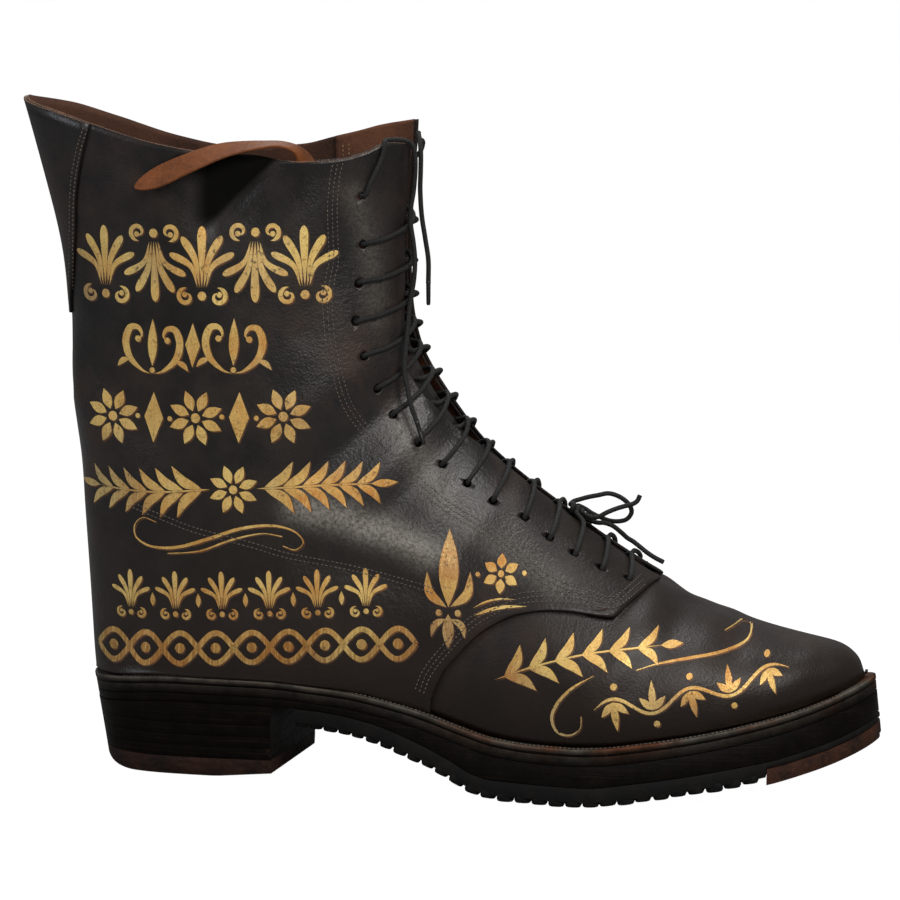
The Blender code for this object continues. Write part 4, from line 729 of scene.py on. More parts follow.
CREASES = {
    OUTER: [
        # x0, z0, x1, z1, half width and depth of each crease, in mm
        (215, 385, 120, 300, 16, -2.6), (232, 362, 150, 262, 13, 2.0), (250, 335, 175, 245, 14, -2.4),
        (272, 312, 205, 228, 12, 1.6), (205, 420, 90, 350, 20, 1.8), (300, 290, 250, 215, 11, -1.4),
        (-120, 420, -40, 330, 22, -2.4), (-110, 350, -30, 270, 20, 2.0), (-118, 290, -30, 215, 18, -1.6),
        (-60, 560, 20, 440, 26, 2.2), (150, 560, 110, 430, 24, -2.2), (60, 480, 10, 330, 30, 2.4),
        (118, 250, 236, 216, 15, 2.6), (120, 214, 232, 186, 14, -1.4),
        (84, 590, 40, 526, 9, 2.6), (64, 588, 22, 528, 13, -3.2), (18, 585, -8, 520, 16, 1.8),
        (470, 180, 430, 110, 12, -1.6), (445, 192, 405, 120, 12, 1.6), (500, 168, 470, 105, 13, 1.4),
        (525, 155, 505, 100, 12, -1.2), (330, 165, 400, 90, 22, 1.8), (590, 140, 560, 100, 12, 1.0),
    ],
    INNER: [
        (215, 385, 110, 290, 17, -2.4), (240, 350, 150, 250, 14, 2.2), (268, 315, 190, 225, 13, -2.2),
        (205, 430, 80, 360, 22, 1.8), (-115, 400, -20, 300, 24, -2.4), (-110, 320, -20, 230, 20, 2.0),
        (-40, 570, 30, 420, 28, 2.4), (140, 560, 100, 400, 26, -2.2),
        (470, 180, 430, 110, 12, -1.6), (445, 192, 405, 120, 12, 1.6), (510, 162, 480, 105, 13, 1.4),
    ],
}
print("creases:", {SIDE_NAMES[side]: len(CREASES[side]) for side in SIDES})

# %% Panels as grids of places
GRID_PASSES, SMOOTH_MARGIN = 60, 0.05


def smoothed(grid, passes):
    """Rubs out ridges between neighbouring rows and columns; the grid's border stays."""
    for _ in range(passes):
        middle = (grid[2:, 1:-1] + grid[:-2, 1:-1] + grid[1:-1, 2:] + grid[1:-1, :-2]) / 4
        grid[1:-1, 1:-1] += (middle - grid[1:-1, 1:-1]) * 0.5
    return grid


def grid_normals(grid, hint):
    """Unit normals of a grid of places; hint is a normal that they have to agree with."""
    rows, columns = np.gradient(grid, axis=0), np.gradient(grid, axis=1)
    normals = np.cross(columns, rows)
    normals /= np.maximum(np.linalg.norm(normals, axis=-1, keepdims=True), 1e-12)
    middle = normals[grid.shape[0] // 2, grid.shape[1] // 2]
    return normals if np.dot(middle, hint) > 0 else -normals


class Panel:
    """A grid of places with its normals, which can be asked for any place over it."""

    def __init__(self, side, shares, levels):
        self.side, self.shares, self.levels = side, shares, levels
        share, level = np.meshgrid(self.shares, self.levels)
        t = quarter_low[side](share) + (quarter_top[side](share) - quarter_low[side](share)) * level
        grid = smoothed(from_facing(side, t, share), GRID_PASSES)
        hint = np.array((0, side, 0))
        normals = grid_normals(grid, hint)
        fade = ease(np.minimum(np.minimum(share, 1 - share), np.minimum(level, 1 - level)) / SMOOTH_MARGIN)
        self.grid = grid + normals * (crease_field(side, grid) * fade)[..., None]
        self.normals = grid_normals(self.grid, hint)

    def over(self, share, level, height):
        """Places at a height over the panel's base surface."""
        share, level = np.broadcast_arrays(share, level)
        i = np.clip(np.searchsorted(self.shares, share, side="right") - 1, 0, len(self.shares) - 2)
        j = np.clip(np.searchsorted(self.levels, level, side="right") - 1, 0, len(self.levels) - 2)
        a = ((share - self.shares[i]) / (self.shares[i + 1] - self.shares[i]))[..., None]
        b = ((level - self.levels[j]) / (self.levels[j + 1] - self.levels[j]))[..., None]
        mixed = []
        for field in (self.grid, self.normals):
            low, high = (field[row, i] * (1 - a) + field[row, i + 1] * a for row in (j, j + 1))
            mixed.append(low * (1 - b) + high * b)
        return mixed[0] + mixed[1] * height

    def address(self, points):
        """The shares and levels of side view points in mm."""
        t, share = shares_of(self.side, points)
        inside = np.clip(share, 0, 1)
        low, high = quarter_low[self.side](inside), quarter_top[self.side](inside)
        return share, (t - low) / (high - low)


def eased_steps(count, rounding=0.5):
    """Steps from 0 to 1 that get closer together at both ends."""
    steps = np.linspace(0, 1, count)
    return (1 - rounding) * steps + rounding * (1 - np.cos(math.pi * steps)) / 2


quarters = {side: Panel(side, eased_steps(104), eased_steps(120)) for side in SIDES}
print("quarter grid:", quarters[OUTER].grid.shape)

# %% From a grid to leather with a thickness
LEATHER = 2.6 * MM
LAYER_GAP = 0.9 * MM
QUARTER_FACE, VAMP_FACE = LAYER_GAP / 2 + LEATHER, -LAYER_GAP / 2
RIM_LOWEST, FACES_UP = 0.5, 0.6
INSIDE_FACES, EDGE_FACES, RIM_FACES = 1, 2, 3


def apply_modifiers(piece):
    """Turns an object with modifiers into a plain mesh."""
    evaluated = piece.evaluated_get(bpy.context.evaluated_depsgraph_get())
    mesh = bpy.data.meshes.new_from_object(evaluated)
    piece.modifiers.clear()
    piece.data = mesh
    return piece


def cut_out(piece, tool):
    """Takes the tool's shape out of a piece and the tool out of the scene."""
    cut = piece.modifiers.new("cut", "BOOLEAN")
    cut.operation, cut.solver, cut.object = "DIFFERENCE", "EXACT", tool
    apply_modifiers(piece)
    bpy.data.objects.remove(tool)


def sheet_of(name, grid, hint):
    """One object with a face for each square of a grid of places, its normals towards the hint."""
    rows, columns = grid.shape[:2]
    corners = [j * columns + i for j in range(rows - 1) for i in range(columns - 1)]
    faces = [(a, a + 1, a + columns + 1, a + columns) for a in corners]
    piece = add_mesh(name, grid.reshape(-1, 3).tolist(), [], faces)
    middle = piece.data.polygons[len(faces) // 2]
    if middle.normal.dot(Vector(hint)) < 0:
        piece.data.flip_normals()
    piece.data.shade_smooth()
    return piece


def tan_hide(piece, thickness, outside, inside, edge):
    """Gives a sheet its thickness; its three kinds of faces get materials of their own."""
    for look in (outside, inside, edge):
        piece.data.materials.append(look.material)
    thick = piece.modifiers.new("thickness", "SOLIDIFY")
    thick.thickness, thick.offset = thickness, -1
    thick.material_offset, thick.material_offset_rim = INSIDE_FACES, EDGE_FACES
    return apply_modifiers(piece)


def bare_rim(piece):
    """The cut edge on top of the rim is bare brown leather; every other edge is inked black."""
    piece.data.materials.append(cut_edge.material)
    for face in piece.data.polygons:
        if face.material_index == EDGE_FACES and face.normal.z > FACES_UP and face.center.z > RIM_LOWEST:
            face.material_index = RIM_FACES


def finish_piece(piece, body, slot, *replaced):
    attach(piece, body)
    if replaced:
        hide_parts(*replaced)
    return piece


# %% The quarters, with their lace holes
LACE_HOLES = [(157, 557), (159, 512), (156, 476), (154.5, 439), (161, 407), (173, 376), (188.5, 350),
              (212, 325.5), (236, 304.5), (261, 288), (286, 272.5), (316, 256.5), (341, 239), (365, 225),
              (391, 211.5), (416, 201.5)]
LACE_HOLE_RADIUS, PIN_LENGTH = 4.1 * MM, 18 * MM


def punch_lace_holes(piece, panel):
    """Cuts a piece with pins that stand through the leather where the laces pass."""
    place = panel.address(LACE_HOLES)
    bm = bmesh.new()
    for centre, out in zip(panel.over(*place, 0), panel.over(*place, MM)):
        axis = Vector(out - centre).normalized()
        place = Matrix.Translation(centre) @ axis.to_track_quat("Z", "Y").to_matrix().to_4x4()
        bmesh.ops.create_cone(bm, cap_ends=True, segments=20, depth=PIN_LENGTH, matrix=place,
                              radius1=LACE_HOLE_RADIUS, radius2=LACE_HOLE_RADIUS)
    mesh = bpy.data.meshes.new("pins")
    bm.to_mesh(mesh)
    bm.free()
    cut_out(piece, add_object("pins", mesh))


# Grey wax bloom, which is also a painted sheen highlight: side view lines with their reach and strength
SHEEN_AND_BLOOM_LINES = [([(106, 264), (150, 254), (196, 240), (228, 224)], 15, 0.95),
          ([(196, 338), (222, 300), (246, 266)], 15, 0.5),
          ([(262, 250), (300, 232), (350, 200)], 13, 0.3),
          ([(150, 560), (166, 500), (172, 440)], 12, 0.25)]


# The grey bloom and painted sheen highlight, as an attribute
def paint_sheen_and_bloom(piece):
    """Paints the attribute that the black leather reads, from each point's place in the side view."""
    places = np.array([v.co for v in piece.data.vertices]) / MM
    x, z = places[:, 0], places[:, 2]
    sheen_and_bloom = np.zeros(len(x))
    for points, reach, strength in SHEEN_AND_BLOOM_LINES:
        line = traced(points, 40) / MM
        nearest = np.min(np.hypot(x[:, None] - line[:, 0], z[:, None] - line[:, 1]), axis=1)
        sheen_and_bloom = np.maximum(sheen_and_bloom, strength * np.exp(-(nearest / reach) ** 2) * (places[:, 1] < 0))
    piece.data.attributes.new("sheen_and_bloom", "FLOAT", "POINT").data.foreach_set("value", sheen_and_bloom.astype("f"))


for side, panel in quarters.items():
    name = SIDE_NAMES[side] + "_quarter"
    piece = sheet_of(name + "_leather", panel.grid + panel.normals * QUARTER_FACE, (0, side, 0))
    tan_hide(piece, LEATHER, leather, flesh_side, dark_edge)
    bare_rim(piece)
    punch_lace_holes(piece, panel)
    paint_sheen_and_bloom(piece)
    finish_piece(piece, "boot", "black_leather", name)
    print(piece.name, "faces:", len(piece.data.polygons))

# %% The vamp
VAMP_TIP, VAMP_PASSES, RIDGE_MARGIN = 0.12, 50, 25 * MM


def vamp_grid():
    """The forepart from one foot over the ridge to the other; its back runs on under the quarters."""
    shares = eased_steps(46, 0.3)
    levels = np.r_[eased_steps(90, 0.6), 1.0 + np.array([0.010, 0.022])]
    halves = {}
    for side in SIDES:
        share, level = np.meshgrid(shares, levels)
        t = VAMP_TIP + (quarter_low[side](share) - VAMP_TIP) * level
        halves[side] = from_facing(side, t, share)
    t = VAMP_TIP + (quarter_low[OUTER](0.0) - VAMP_TIP) * levels
    middle = []
    for share in np.linspace(-1, 1, 9)[1:-1]:
        side = OUTER if share < 0 else INNER
        middle.append(surface(side, t, abs(share) * gap_share(side, t)))
    return np.concatenate([halves[OUTER][:, ::-1], np.stack(middle, axis=1), halves[INNER]], axis=1)


grid = smoothed(vamp_grid(), VAMP_PASSES)
normals = grid_normals(grid, (0, 0, 1))
for side in SIDES:
    own = grid[..., 1] * side > 0
    grid = grid + normals * (crease_field(side, grid) * own * ease(abs(grid[..., 1]) / RIDGE_MARGIN))[..., None]
normals = grid_normals(grid, (0, 0, 1))
# The rows that run on under the quarters lie deeper
sink = np.zeros(grid.shape[0])
sink[-2:] = (0.5 * LAYER_GAP, LAYER_GAP)
vamp_face = grid + normals * (VAMP_FACE - sink)[:, None, None]
vamp = tan_hide(sheet_of("vamp_leather", vamp_face, (0, 0, 1)), LEATHER, toe_leather, flesh_side, dark_edge)
finish_piece(vamp, "boot", "black_leather", "vamp")
print("vamp faces:", len(vamp.data.polygons))

# %% The backstay, the strip over the back seam
BACKSTAY_EDGE = [(-98, 617), (-105, 595), (-111, 565), (-114, 540), (-115, 510), (-117, 480), (-120, 455),
                 (-123, 432)]
BACKSTAY_LEATHER, BACKSTAY_GAP, BACKSTAY_FOOT = 2.2 * MM, 0.6 * MM, 432


def seam_level(z):
    """The quarter's level at which the back seam has a height."""
    levels = np.linspace(0, 1, 400)
    seam = quarters[OUTER].over(1.0, levels, 0)
    real = abs(seam[:, 1]) < 2 * SEAM_HALF_GAP
    return float(np.interp(z * MM, seam[real, 2], levels[real]))


def backstay_grid(height, columns=14):
    """The strip from its edge on one quarter to its edge on the other, at a height over both."""
    levels = np.r_[np.linspace(seam_level(BACKSTAY_FOOT), 0.985, 70), 0.994, 1.0]
    halves = {}
    for side in SIDES:
        share, level = quarters[side].address(BACKSTAY_EDGE)
        order = np.argsort(level)
        start = np.minimum(steady(level[order], share[order])(levels), 0.995)[:, None]
        across = start + (1 - start) * np.linspace(0, 1, columns)
        halves[side] = quarters[side].over(across, levels[:, None], height)
    middle = (halves[OUTER][:, -1:] + halves[INNER][:, -1:]) / 2
    return np.concatenate([halves[OUTER][:, :-1], middle, halves[INNER][:, -2::-1]], axis=1)


backstay_face = backstay_grid(QUARTER_FACE + BACKSTAY_GAP + BACKSTAY_LEATHER)
backstay = sheet_of("backstay_leather", backstay_face, (-1, 0, 0))
tan_hide(backstay, BACKSTAY_LEATHER, leather, leather, dark_edge)
bare_rim(backstay)
finish_piece(backstay, "boot", "black_leather", "backstay")
print("backstay faces:", len(backstay.data.polygons))

# %% [markdown]
# ## The sole, layer by layer
#
# A welted sole is a stack: the welt that the upper is sewn to, a midsole, an outsole, a tread and the heel's lifts.
# Each layer is the welt's outline at another depth, a little wider towards the ground at the forepart and narrower at
# the heel. So one helper lofts every layer from its cross sections, with rounded edges, as a trimming knife and a hot
# iron leave them. Only heights and looks differ.

# %% Cross sections of a sole layer
SOLE_FLARE, HEEL_TAPER, FLARE_START, FLARE_LENGTH = 0.12, 0.17, 90, 120
WELT_THICKNESS, MIDSOLE_THICKNESS = 6.5 * MM, 8.5 * MM
FIT = 0.3 * MM
OUTSOLE_BOTTOM = [(-105, 60.5), (-75, 66.4), (-7, 73), (57, 72.5), (84, 71.7), (122, 70), (145, 67.6), (184, 60.4),
                  (218, 49.8), (258, 33.5), (280, 23.3), (300, 19.5), (385, 19.5), (435, 26), (476, 32.4),
                  (506, 37.6), (557, 46.4), (586, 53.6), (610, 60.5), (643, 74), (665, 86)]
outsole_bottom = steady(*np.array(OUTSOLE_BOTTOM).T * MM)
welt_edge = {side: traced(points, 800, mirrored=True) for side, points in WELT_EDGE.items()}
SOLE_BACK, SOLE_TIP = -100.1 * MM, 648.6 * MM
ROUNDING_SHARE, MOST_ROUNDING = 0.29, 0.45
END_POWER, LEAST_SECTION = 6, 0.5 * MM


def edge_width(side, x):
    """The welt's half width."""
    return np.interp(x, welt_edge[side][:, 0], welt_edge[side][:, 1])


def lowered(heights, depth):
    """A line of heights over x, moved down."""
    return lambda x: heights(x) - depth


def flare(x, depth):
    """How far the sole's edge stands out at a depth under the welt's top."""
    blend = np.clip((x / MM - FLARE_START) / FLARE_LENGTH, 0, 1)
    return depth * (-HEEL_TAPER * (1 - blend) + SOLE_FLARE * blend)


def rounded_wall(top, bottom, round_off):
    """Heights on a layer's wall from its top to its bottom, each with how far the rounding moves it."""
    r = min(round_off, (top - bottom) * MOST_ROUNDING)
    part = ROUNDING_SHARE * r
    return [(top, -r), (top - part, -part), (top - r, 0), (bottom + r, 0), (bottom + part, -part), (bottom, -r)]


def section_points(x, top, bottom, round_off, extra, widths=None):
    """The closed outline of one cross section, its four corners rounded."""
    lean = (x - (SOLE_BACK + SOLE_TIP) / 2) / ((SOLE_TIP - SOLE_BACK) / 2)
    lean = math.copysign(abs(lean) ** END_POWER, lean)
    rows = {OUTER: [], INNER: []}
    for side, points in rows.items():
        for z, inset in rounded_wall(top, bottom, round_off):
            out = float(flare(x, welt_top(x) - z)) + extra + inset
            width = (widths[side] if widths else float(edge_width(side, x))) + out
            points.append((x + lean * out, side * max(width, LEAST_SECTION), z))
    return rows[OUTER] + rows[INNER][::-1]


# %% A solid through cross sections
SHARP_ANGLE = math.radians(38)


def loft(name, rows, look, rubbed=None):
    """A closed solid through cross sections of the same number of points; rubbed says how worn each point is."""
    size = len(rows[0])
    faces = [(j * size + i, j * size + (i + 1) % size, (j + 1) * size + (i + 1) % size, (j + 1) * size + i)
             for j in range(len(rows) - 1) for i in range(size)]
    faces += [tuple(range(size)), tuple((len(rows) - 1) * size + i for i in reversed(range(size)))]
    piece = add_mesh(name, [p for row in rows for p in row], [], faces)
    mesh = piece.data
    bm = bmesh.new()
    bm.from_mesh(mesh)
    bmesh.ops.recalc_face_normals(bm, faces=bm.faces)
    bm.to_mesh(mesh)
    bm.free()
    if rubbed:
        wear = mesh.attributes.new("rubbed", "FLOAT", "POINT")
        wear.data.foreach_set("value", np.tile(np.array(rubbed, "f"), len(rows)))
    mesh.shade_smooth()
    mesh.set_sharp_from_angle(angle=SHARP_ANGLE)
    mesh.materials.append(look.material)
    return piece


def sole_layer(name, top, bottom, look, start=SOLE_BACK, round_off=0.5 * MM, extra=0.0, count=170, wear=0.0):
    """A layer up to the sole's tip; wear says how rubbed its upper edge is."""
    rows = [section_points(x, float(top(x)), float(bottom(x)), round_off, extra)
            for x in start + (SOLE_TIP - start) * eased_steps(count, 0.85)]
    rubbed = [wear * share for share in (0.5, 1, 0.5, 0, 0, 0)]
    return loft(name, rows, look, rubbed + rubbed[::-1])


# %% Welt, midsole and outsole
WELT_WIDTH, HOLLOW_REACH = 32 * MM, 20 * MM
welt_bottom = lowered(welt_top, WELT_THICKNESS)
midsole_top = lowered(welt_bottom, FIT)
midsole_bottom = lowered(midsole_top, MIDSOLE_THICKNESS)
outsole_top = lowered(midsole_bottom, FIT)

welt = sole_layer("welt_strip", welt_top, welt_bottom, welt_worn, round_off=1.6 * MM, wear=1)
hollow_rows = []
for x in SOLE_BACK + WELT_WIDTH + (SOLE_TIP - SOLE_BACK - 2 * WELT_WIDTH) * eased_steps(60, 0.8):
    inner_half = {side: float(edge_width(side, x)) - WELT_WIDTH for side in SIDES}
    level = float(welt_top(x))
    hollow_rows.append(section_points(x, level + HOLLOW_REACH, level - HOLLOW_REACH, MM, 0.0, inner_half))
cut_out(welt, loft("hollow", hollow_rows, welt_worn))
finish_piece(welt, "boot", "sole_leather", "welt")
midsole = sole_layer("midsole_layer", midsole_top, midsole_bottom, sole_black, extra=-0.3 * MM, wear=0.35)
finish_piece(midsole, "boot", "sole_leather", "midsole")
outsole = sole_layer("outsole_layer", outsole_top, outsole_bottom, sole_black, round_off=0.8 * MM, extra=-0.2 * MM)
finish_piece(outsole, "boot", "sole_leather", "outsole")
print("sole layers:", [len(piece.data.polygons) for piece in (welt, midsole, outsole)])

# %% The heel's lifts and its top piece
HEEL_BREAST = {OUTER: 83 * MM, INNER: 104 * MM}
HEEL_LIFT, TOP_PIECE = 11 * MM, 18 * MM
HEEL_FLAT_START, HEEL_FLAT_END = -50 * MM, 30 * MM
BREAST_WEAR, BREAST_REACH, BACK_WEAR, BACK_REACH = 4.5 * MM, 53 * MM, 6 * MM, 38 * MM
ROUND_BACK, LEAST_HALF_WIDTH = 0.33, 3 * MM


def worn_bottom(x):
    """The underside of the heel: flat in the middle, worn away at the back and towards the breast."""
    if x > HEEL_FLAT_END:
        return BREAST_WEAR * (x - HEEL_FLAT_END) / BREAST_REACH
    return BACK_WEAR * ((HEEL_FLAT_START - x) / BACK_REACH) ** 2 if x < HEEL_FLAT_START else 0.0


def heel_lift(name, top, bottom, look, round_off):
    """A layer from the heel's round back to its breast, which slants across the boot."""
    rows = []
    for share in np.r_[eased_steps(60, 0.9) * 0.5, 0.5 + np.linspace(0, 0.5, 14)[1:]]:
        halves = {OUTER: [], INNER: []}
        for side, points in halves.items():
            x = SOLE_BACK + (HEEL_BREAST[side] - SOLE_BACK) * share
            for z, inset in rounded_wall(top(x), bottom(x), round_off):
                out = -HEEL_TAPER * (float(welt_top(x)) - z) + inset
                pull = out * (1 - min(share / ROUND_BACK, 1)) ** 2
                points.append((x - pull, side * max(float(edge_width(side, x)) + out, LEAST_HALF_WIDTH), z))
        rows.append(halves[OUTER] + halves[INNER][::-1])
    return loft(name, rows, look)


heel_pieces = [("heel_top_piece", lambda x: TOP_PIECE, worn_bottom)]
lift_bottom = TOP_PIECE + FIT
for name in ("heel_lift_lower", "heel_lift_middle", "heel_lift_upper"):
    heel_pieces.append((name, lambda x, z=lift_bottom: z + HEEL_LIFT, lambda x, z=lift_bottom: z))
    lift_bottom += HEEL_LIFT + FIT
tread_top = lowered(outsole_bottom, FIT)
heel_pieces.append(("heel_seat_lift", tread_top, lambda x: lift_bottom))
for name, top, bottom in heel_pieces:
    worn = name == "heel_top_piece"
    piece = heel_lift(name + "_leather", top, bottom, heel_worn if worn else sole_black, (1.2 if worn else 0.25) * MM)
    finish_piece(piece, "boot", "worn_sole_leather" if worn else "sole_leather", name)
print("heel pieces:", len(heel_pieces))

# %% [markdown]
# ## The lugged tread
#
# The tread is a rubber sheet with blocks moulded on it in staggered rows. Blocks repeat, so Geometry Nodes place
# them: a mesh of bare points carries each block's size and slope as attributes, and the tree sets a rounded block on
# each.
# The block is a cube that Subdivision Surface rounds off, with its edges creased enough to keep it square.

# %% Geometry Nodes helper
def node_tree(name, inputs):
    """The inputs of a new Geometry Nodes tree, a function that adds a linked node and one that ends the tree."""
    made = bpy.data.node_groups.new(name, "GeometryNodeTree")
    made.interface.new_socket("Geometry", in_out="INPUT", socket_type="NodeSocketGeometry")
    for key, value in inputs.items():
        socket = made.interface.new_socket(key, in_out="INPUT", socket_type="NodeSocketFloat")
        socket.default_value = value
    made.interface.new_socket("Geometry", in_out="OUTPUT", socket_type="NodeSocketGeometry")
    source, target = made.nodes.new("NodeGroupInput"), made.nodes.new("NodeGroupOutput")

    def add(kind, settings=None, **links):
        node = made.nodes.new(kind)
        for key, value in (settings or {}).items():
            setattr(node, key, value)
        for key, value in links.items():
            socket = next(s for s in node.inputs if s.name.replace(" ", "_") == key and s.enabled)
            if isinstance(value, bpy.types.NodeSocket):
                made.links.new(value, socket)
            else:
                socket.default_value = value
        return node

    def end(placed, look):
        """Makes instances real, smooth and painted, and gives the tree."""
        real = add("GeometryNodeRealizeInstances", Geometry=placed.outputs[0])
        smooth = add("GeometryNodeSetShadeSmooth", Geometry=real.outputs[0])
        painted = add("GeometryNodeSetMaterial", Geometry=smooth.outputs[0], Material=look.material)
        made.links.new(painted.outputs[0], target.inputs[0])
        return made

    return source.outputs, add, end


def grow(piece, tree):
    """Runs a tree on an object and keeps its result as a plain mesh."""
    piece.modifiers.new(tree.name, "NODES").node_group = tree
    apply_modifiers(piece)


# %% The tree of moulded blocks
BLOCK_ROUNDNESS = 0.34


def block_tree(look):
    given, add, end = node_tree("moulded_blocks", {"Roundness": BLOCK_ROUNDNESS})
    cube = add("GeometryNodeMeshCube", Size=(1, 1, 1)).outputs["Mesh"]
    round_block = add("GeometryNodeSubdivisionSurface", Mesh=cube, Level=2, Edge_Crease=given["Roundness"])
    fields = (add("GeometryNodeInputNamedAttribute", {"data_type": "FLOAT_VECTOR"}, Name=name)
              for name in ("size", "tilt"))
    size, tilt = (field.outputs["Attribute"] for field in fields)
    return end(add("GeometryNodeInstanceOnPoints", Points=given["Geometry"], Instance=round_block.outputs[0],
                   Rotation=tilt, Scale=size), look)


# %% The tread's sheet
TREAD_SHEET, LUG_HEIGHT, LUG_GROOVE = 12.5 * MM, 7.0 * MM, 1.0 * MM
TREAD_FRONT = 6.0 * MM
TREAD_START, TREAD_END = 106 * MM, 552 * MM
TOE_PLATE_START, TOE_PLATE_THICKNESS = 554 * MM, 15.5 * MM
TREAD_ROUNDING, TREAD_EXTRA = 1.6 * MM, 0.2 * MM

# Behind the toe plate the sheet is thick, over it thin
step = TOE_PLATE_START - 0.5 * MM
thick_part = TREAD_START + (step - 0.3 * MM - TREAD_START) * np.linspace(0, 1, 120)
thin_part = step + (SOLE_TIP - step) * eased_steps(50, 0.9)
sheet_rows = []
for places, thickness in ((thick_part, TREAD_SHEET + TREAD_ROUNDING), (thin_part, TREAD_FRONT)):
    for x in places:
        top = float(tread_top(x))
        sheet_rows.append(section_points(x, top, top - thickness, TREAD_ROUNDING, TREAD_EXTRA))
tread_sheet = loft("tread_sheet", sheet_rows, tread_black)
finish_piece(tread_sheet, "boot", "tread_rubber", "lugged_tread")
print("tread sheet faces:", len(tread_sheet.data.polygons))

# %% The tread's blocks
LUG_ACROSS, LUG_SINK, LUG_EDGE = 23 * MM, 2 * MM, 1.2 * MM
LUG_PITCH_WAIST, LUG_PITCH_MORE = 13.8, 2.4
LEAST_PITCH, LEAST_ACROSS, SLOPE_REACH = 6 * MM, 7 * MM, 5 * MM
# Wear moves, shortens and turns the blocks; they are made larger because the rounding shrinks them
LUG_SHIFT, LUG_LIFT, LUG_TURN = 0.6, 1.3, 0.02
SWELL_ALONG, SWELL_ACROSS, SWELL_HIGH = (0.98, 1.1), 1.03, 1.02


def lug_bottom(x):
    """The height of the blocks' lower ends; the lowest ones stand on the floor."""
    return max(float(outsole_bottom(x)) - TREAD_SHEET - LUG_HEIGHT, 0.0)


rng = np.random.default_rng(7)
centres, sizes, tilts = [], [], []
x, row = TREAD_START, 0
while TREAD_END - x >= LEAST_PITCH:
    pitch = (LUG_PITCH_WAIST + LUG_PITCH_MORE * float(np.clip((x / MM - 220) / 80, 0, 1))) * MM
    pitch = min(pitch, TREAD_END - x)
    middle = x + (pitch - LUG_GROOVE) / 2
    depth = float(welt_top(middle)) - lug_bottom(middle)
    reach = {side: float(edge_width(side, middle) + flare(middle, depth)) - LUG_EDGE for side in SIDES}
    across = np.arange(-12, 13) * LUG_ACROSS + (row % 2) * LUG_ACROSS / 2
    across = across[(across > -reach[OUTER] + LEAST_ACROSS) & (across < reach[INNER] - LEAST_ACROSS)]
    cuts = np.r_[-reach[OUTER], across, reach[INNER]]
    height = LUG_HEIGHT + LUG_SINK
    rise = outsole_bottom(middle + SLOPE_REACH) - outsole_bottom(middle - SLOPE_REACH)
    for a, b in zip(cuts, cuts[1:]):
        left = a if a == cuts[0] else a + LUG_GROOVE / 2
        stop = b if b == cuts[-1] else b - LUG_GROOVE / 2
        shift = rng.uniform(-LUG_SHIFT, LUG_SHIFT) * MM
        lift = rng.uniform(0, LUG_LIFT) * MM if lug_bottom(middle) else 0.0
        centres.append((middle + shift, (left + stop) / 2, lug_bottom(middle) + lift + height / 2))
        along = (pitch - LUG_GROOVE) * rng.uniform(*SWELL_ALONG)
        sizes.append((along, (stop - left) * SWELL_ACROSS, height * SWELL_HIGH))
        tilts.append((0, -math.atan(rise / (2 * SLOPE_REACH)), rng.uniform(-LUG_TURN, LUG_TURN)))
    x += pitch
    row += 1
tread_blocks = add_mesh("tread_blocks", centres, [], [])
for name, values in (("size", sizes), ("tilt", tilts)):
    field = tread_blocks.data.attributes.new(name, "FLOAT_VECTOR", "POINT")
    field.data.foreach_set("vector", np.array(values, "f").ravel())
grow(tread_blocks, block_tree(tread_black))
finish_piece(tread_blocks, "boot", "tread_rubber", "lugged_tread")
print("tread blocks:", len(centres), "in", row, "rows, faces:", len(tread_blocks.data.polygons))

# %% The iron toe plate
plate_top = lowered(lowered(tread_top, TREAD_FRONT), FIT)
toe_plate = sole_layer("toe_plate_iron", plate_top, lowered(plate_top, TOE_PLATE_THICKNESS), iron,
                       start=TOE_PLATE_START, round_off=2.2 * MM, count=70)
finish_piece(toe_plate, "boot", "rusty_iron", "toe_plate")
print("toe plate faces:", len(toe_plate.data.polygons))

# %% [markdown]
# ## Laces
#
# The laces are round waxed cord. The two that are laced up stay where the CAD put them: a copy of each tube is welded
# and subdivided, which rounds its eight sides. The hanging ends and the bow are free cords, so each one is a curve
# of its real length.

# %% Laced cords, the knot and the tips, rounded from the CAD tubes
LACE_RADIUS, WELD_DISTANCE = 2.3 * MM, 0.00002


def rounded_copy(name, swell):
    """A welded and subdivided copy of a CAD node, swollen a little because subdivision shrinks it."""
    bm = bmesh.new()
    bm.from_mesh(nodes[name].data)
    bmesh.ops.remove_doubles(bm, verts=bm.verts, dist=WELD_DISTANCE)
    bm.normal_update()
    for vertex in bm.verts:
        vertex.co += vertex.normal * swell
    mesh = bpy.data.meshes.new(name + "_round")
    bm.to_mesh(mesh)
    bm.free()
    mesh.shade_smooth()
    mesh.materials.clear()
    mesh.materials.append(lace_black.material)
    piece = add_object(mesh.name, mesh)
    rounding = piece.modifiers.new("rounding", "SUBSURF")
    rounding.levels = rounding.render_levels = 2
    return finish_piece(apply_modifiers(piece), "boot", "lace", name)


upper, lower, knot = (rounded_copy(name, swell * MM) for name, swell in
                      (("upper_lace", 0.22), ("lower_lace", 0.22), ("bow_knot", 0.2)))
print("faces:", [len(piece.data.polygons) for piece in (upper, lower, knot)])

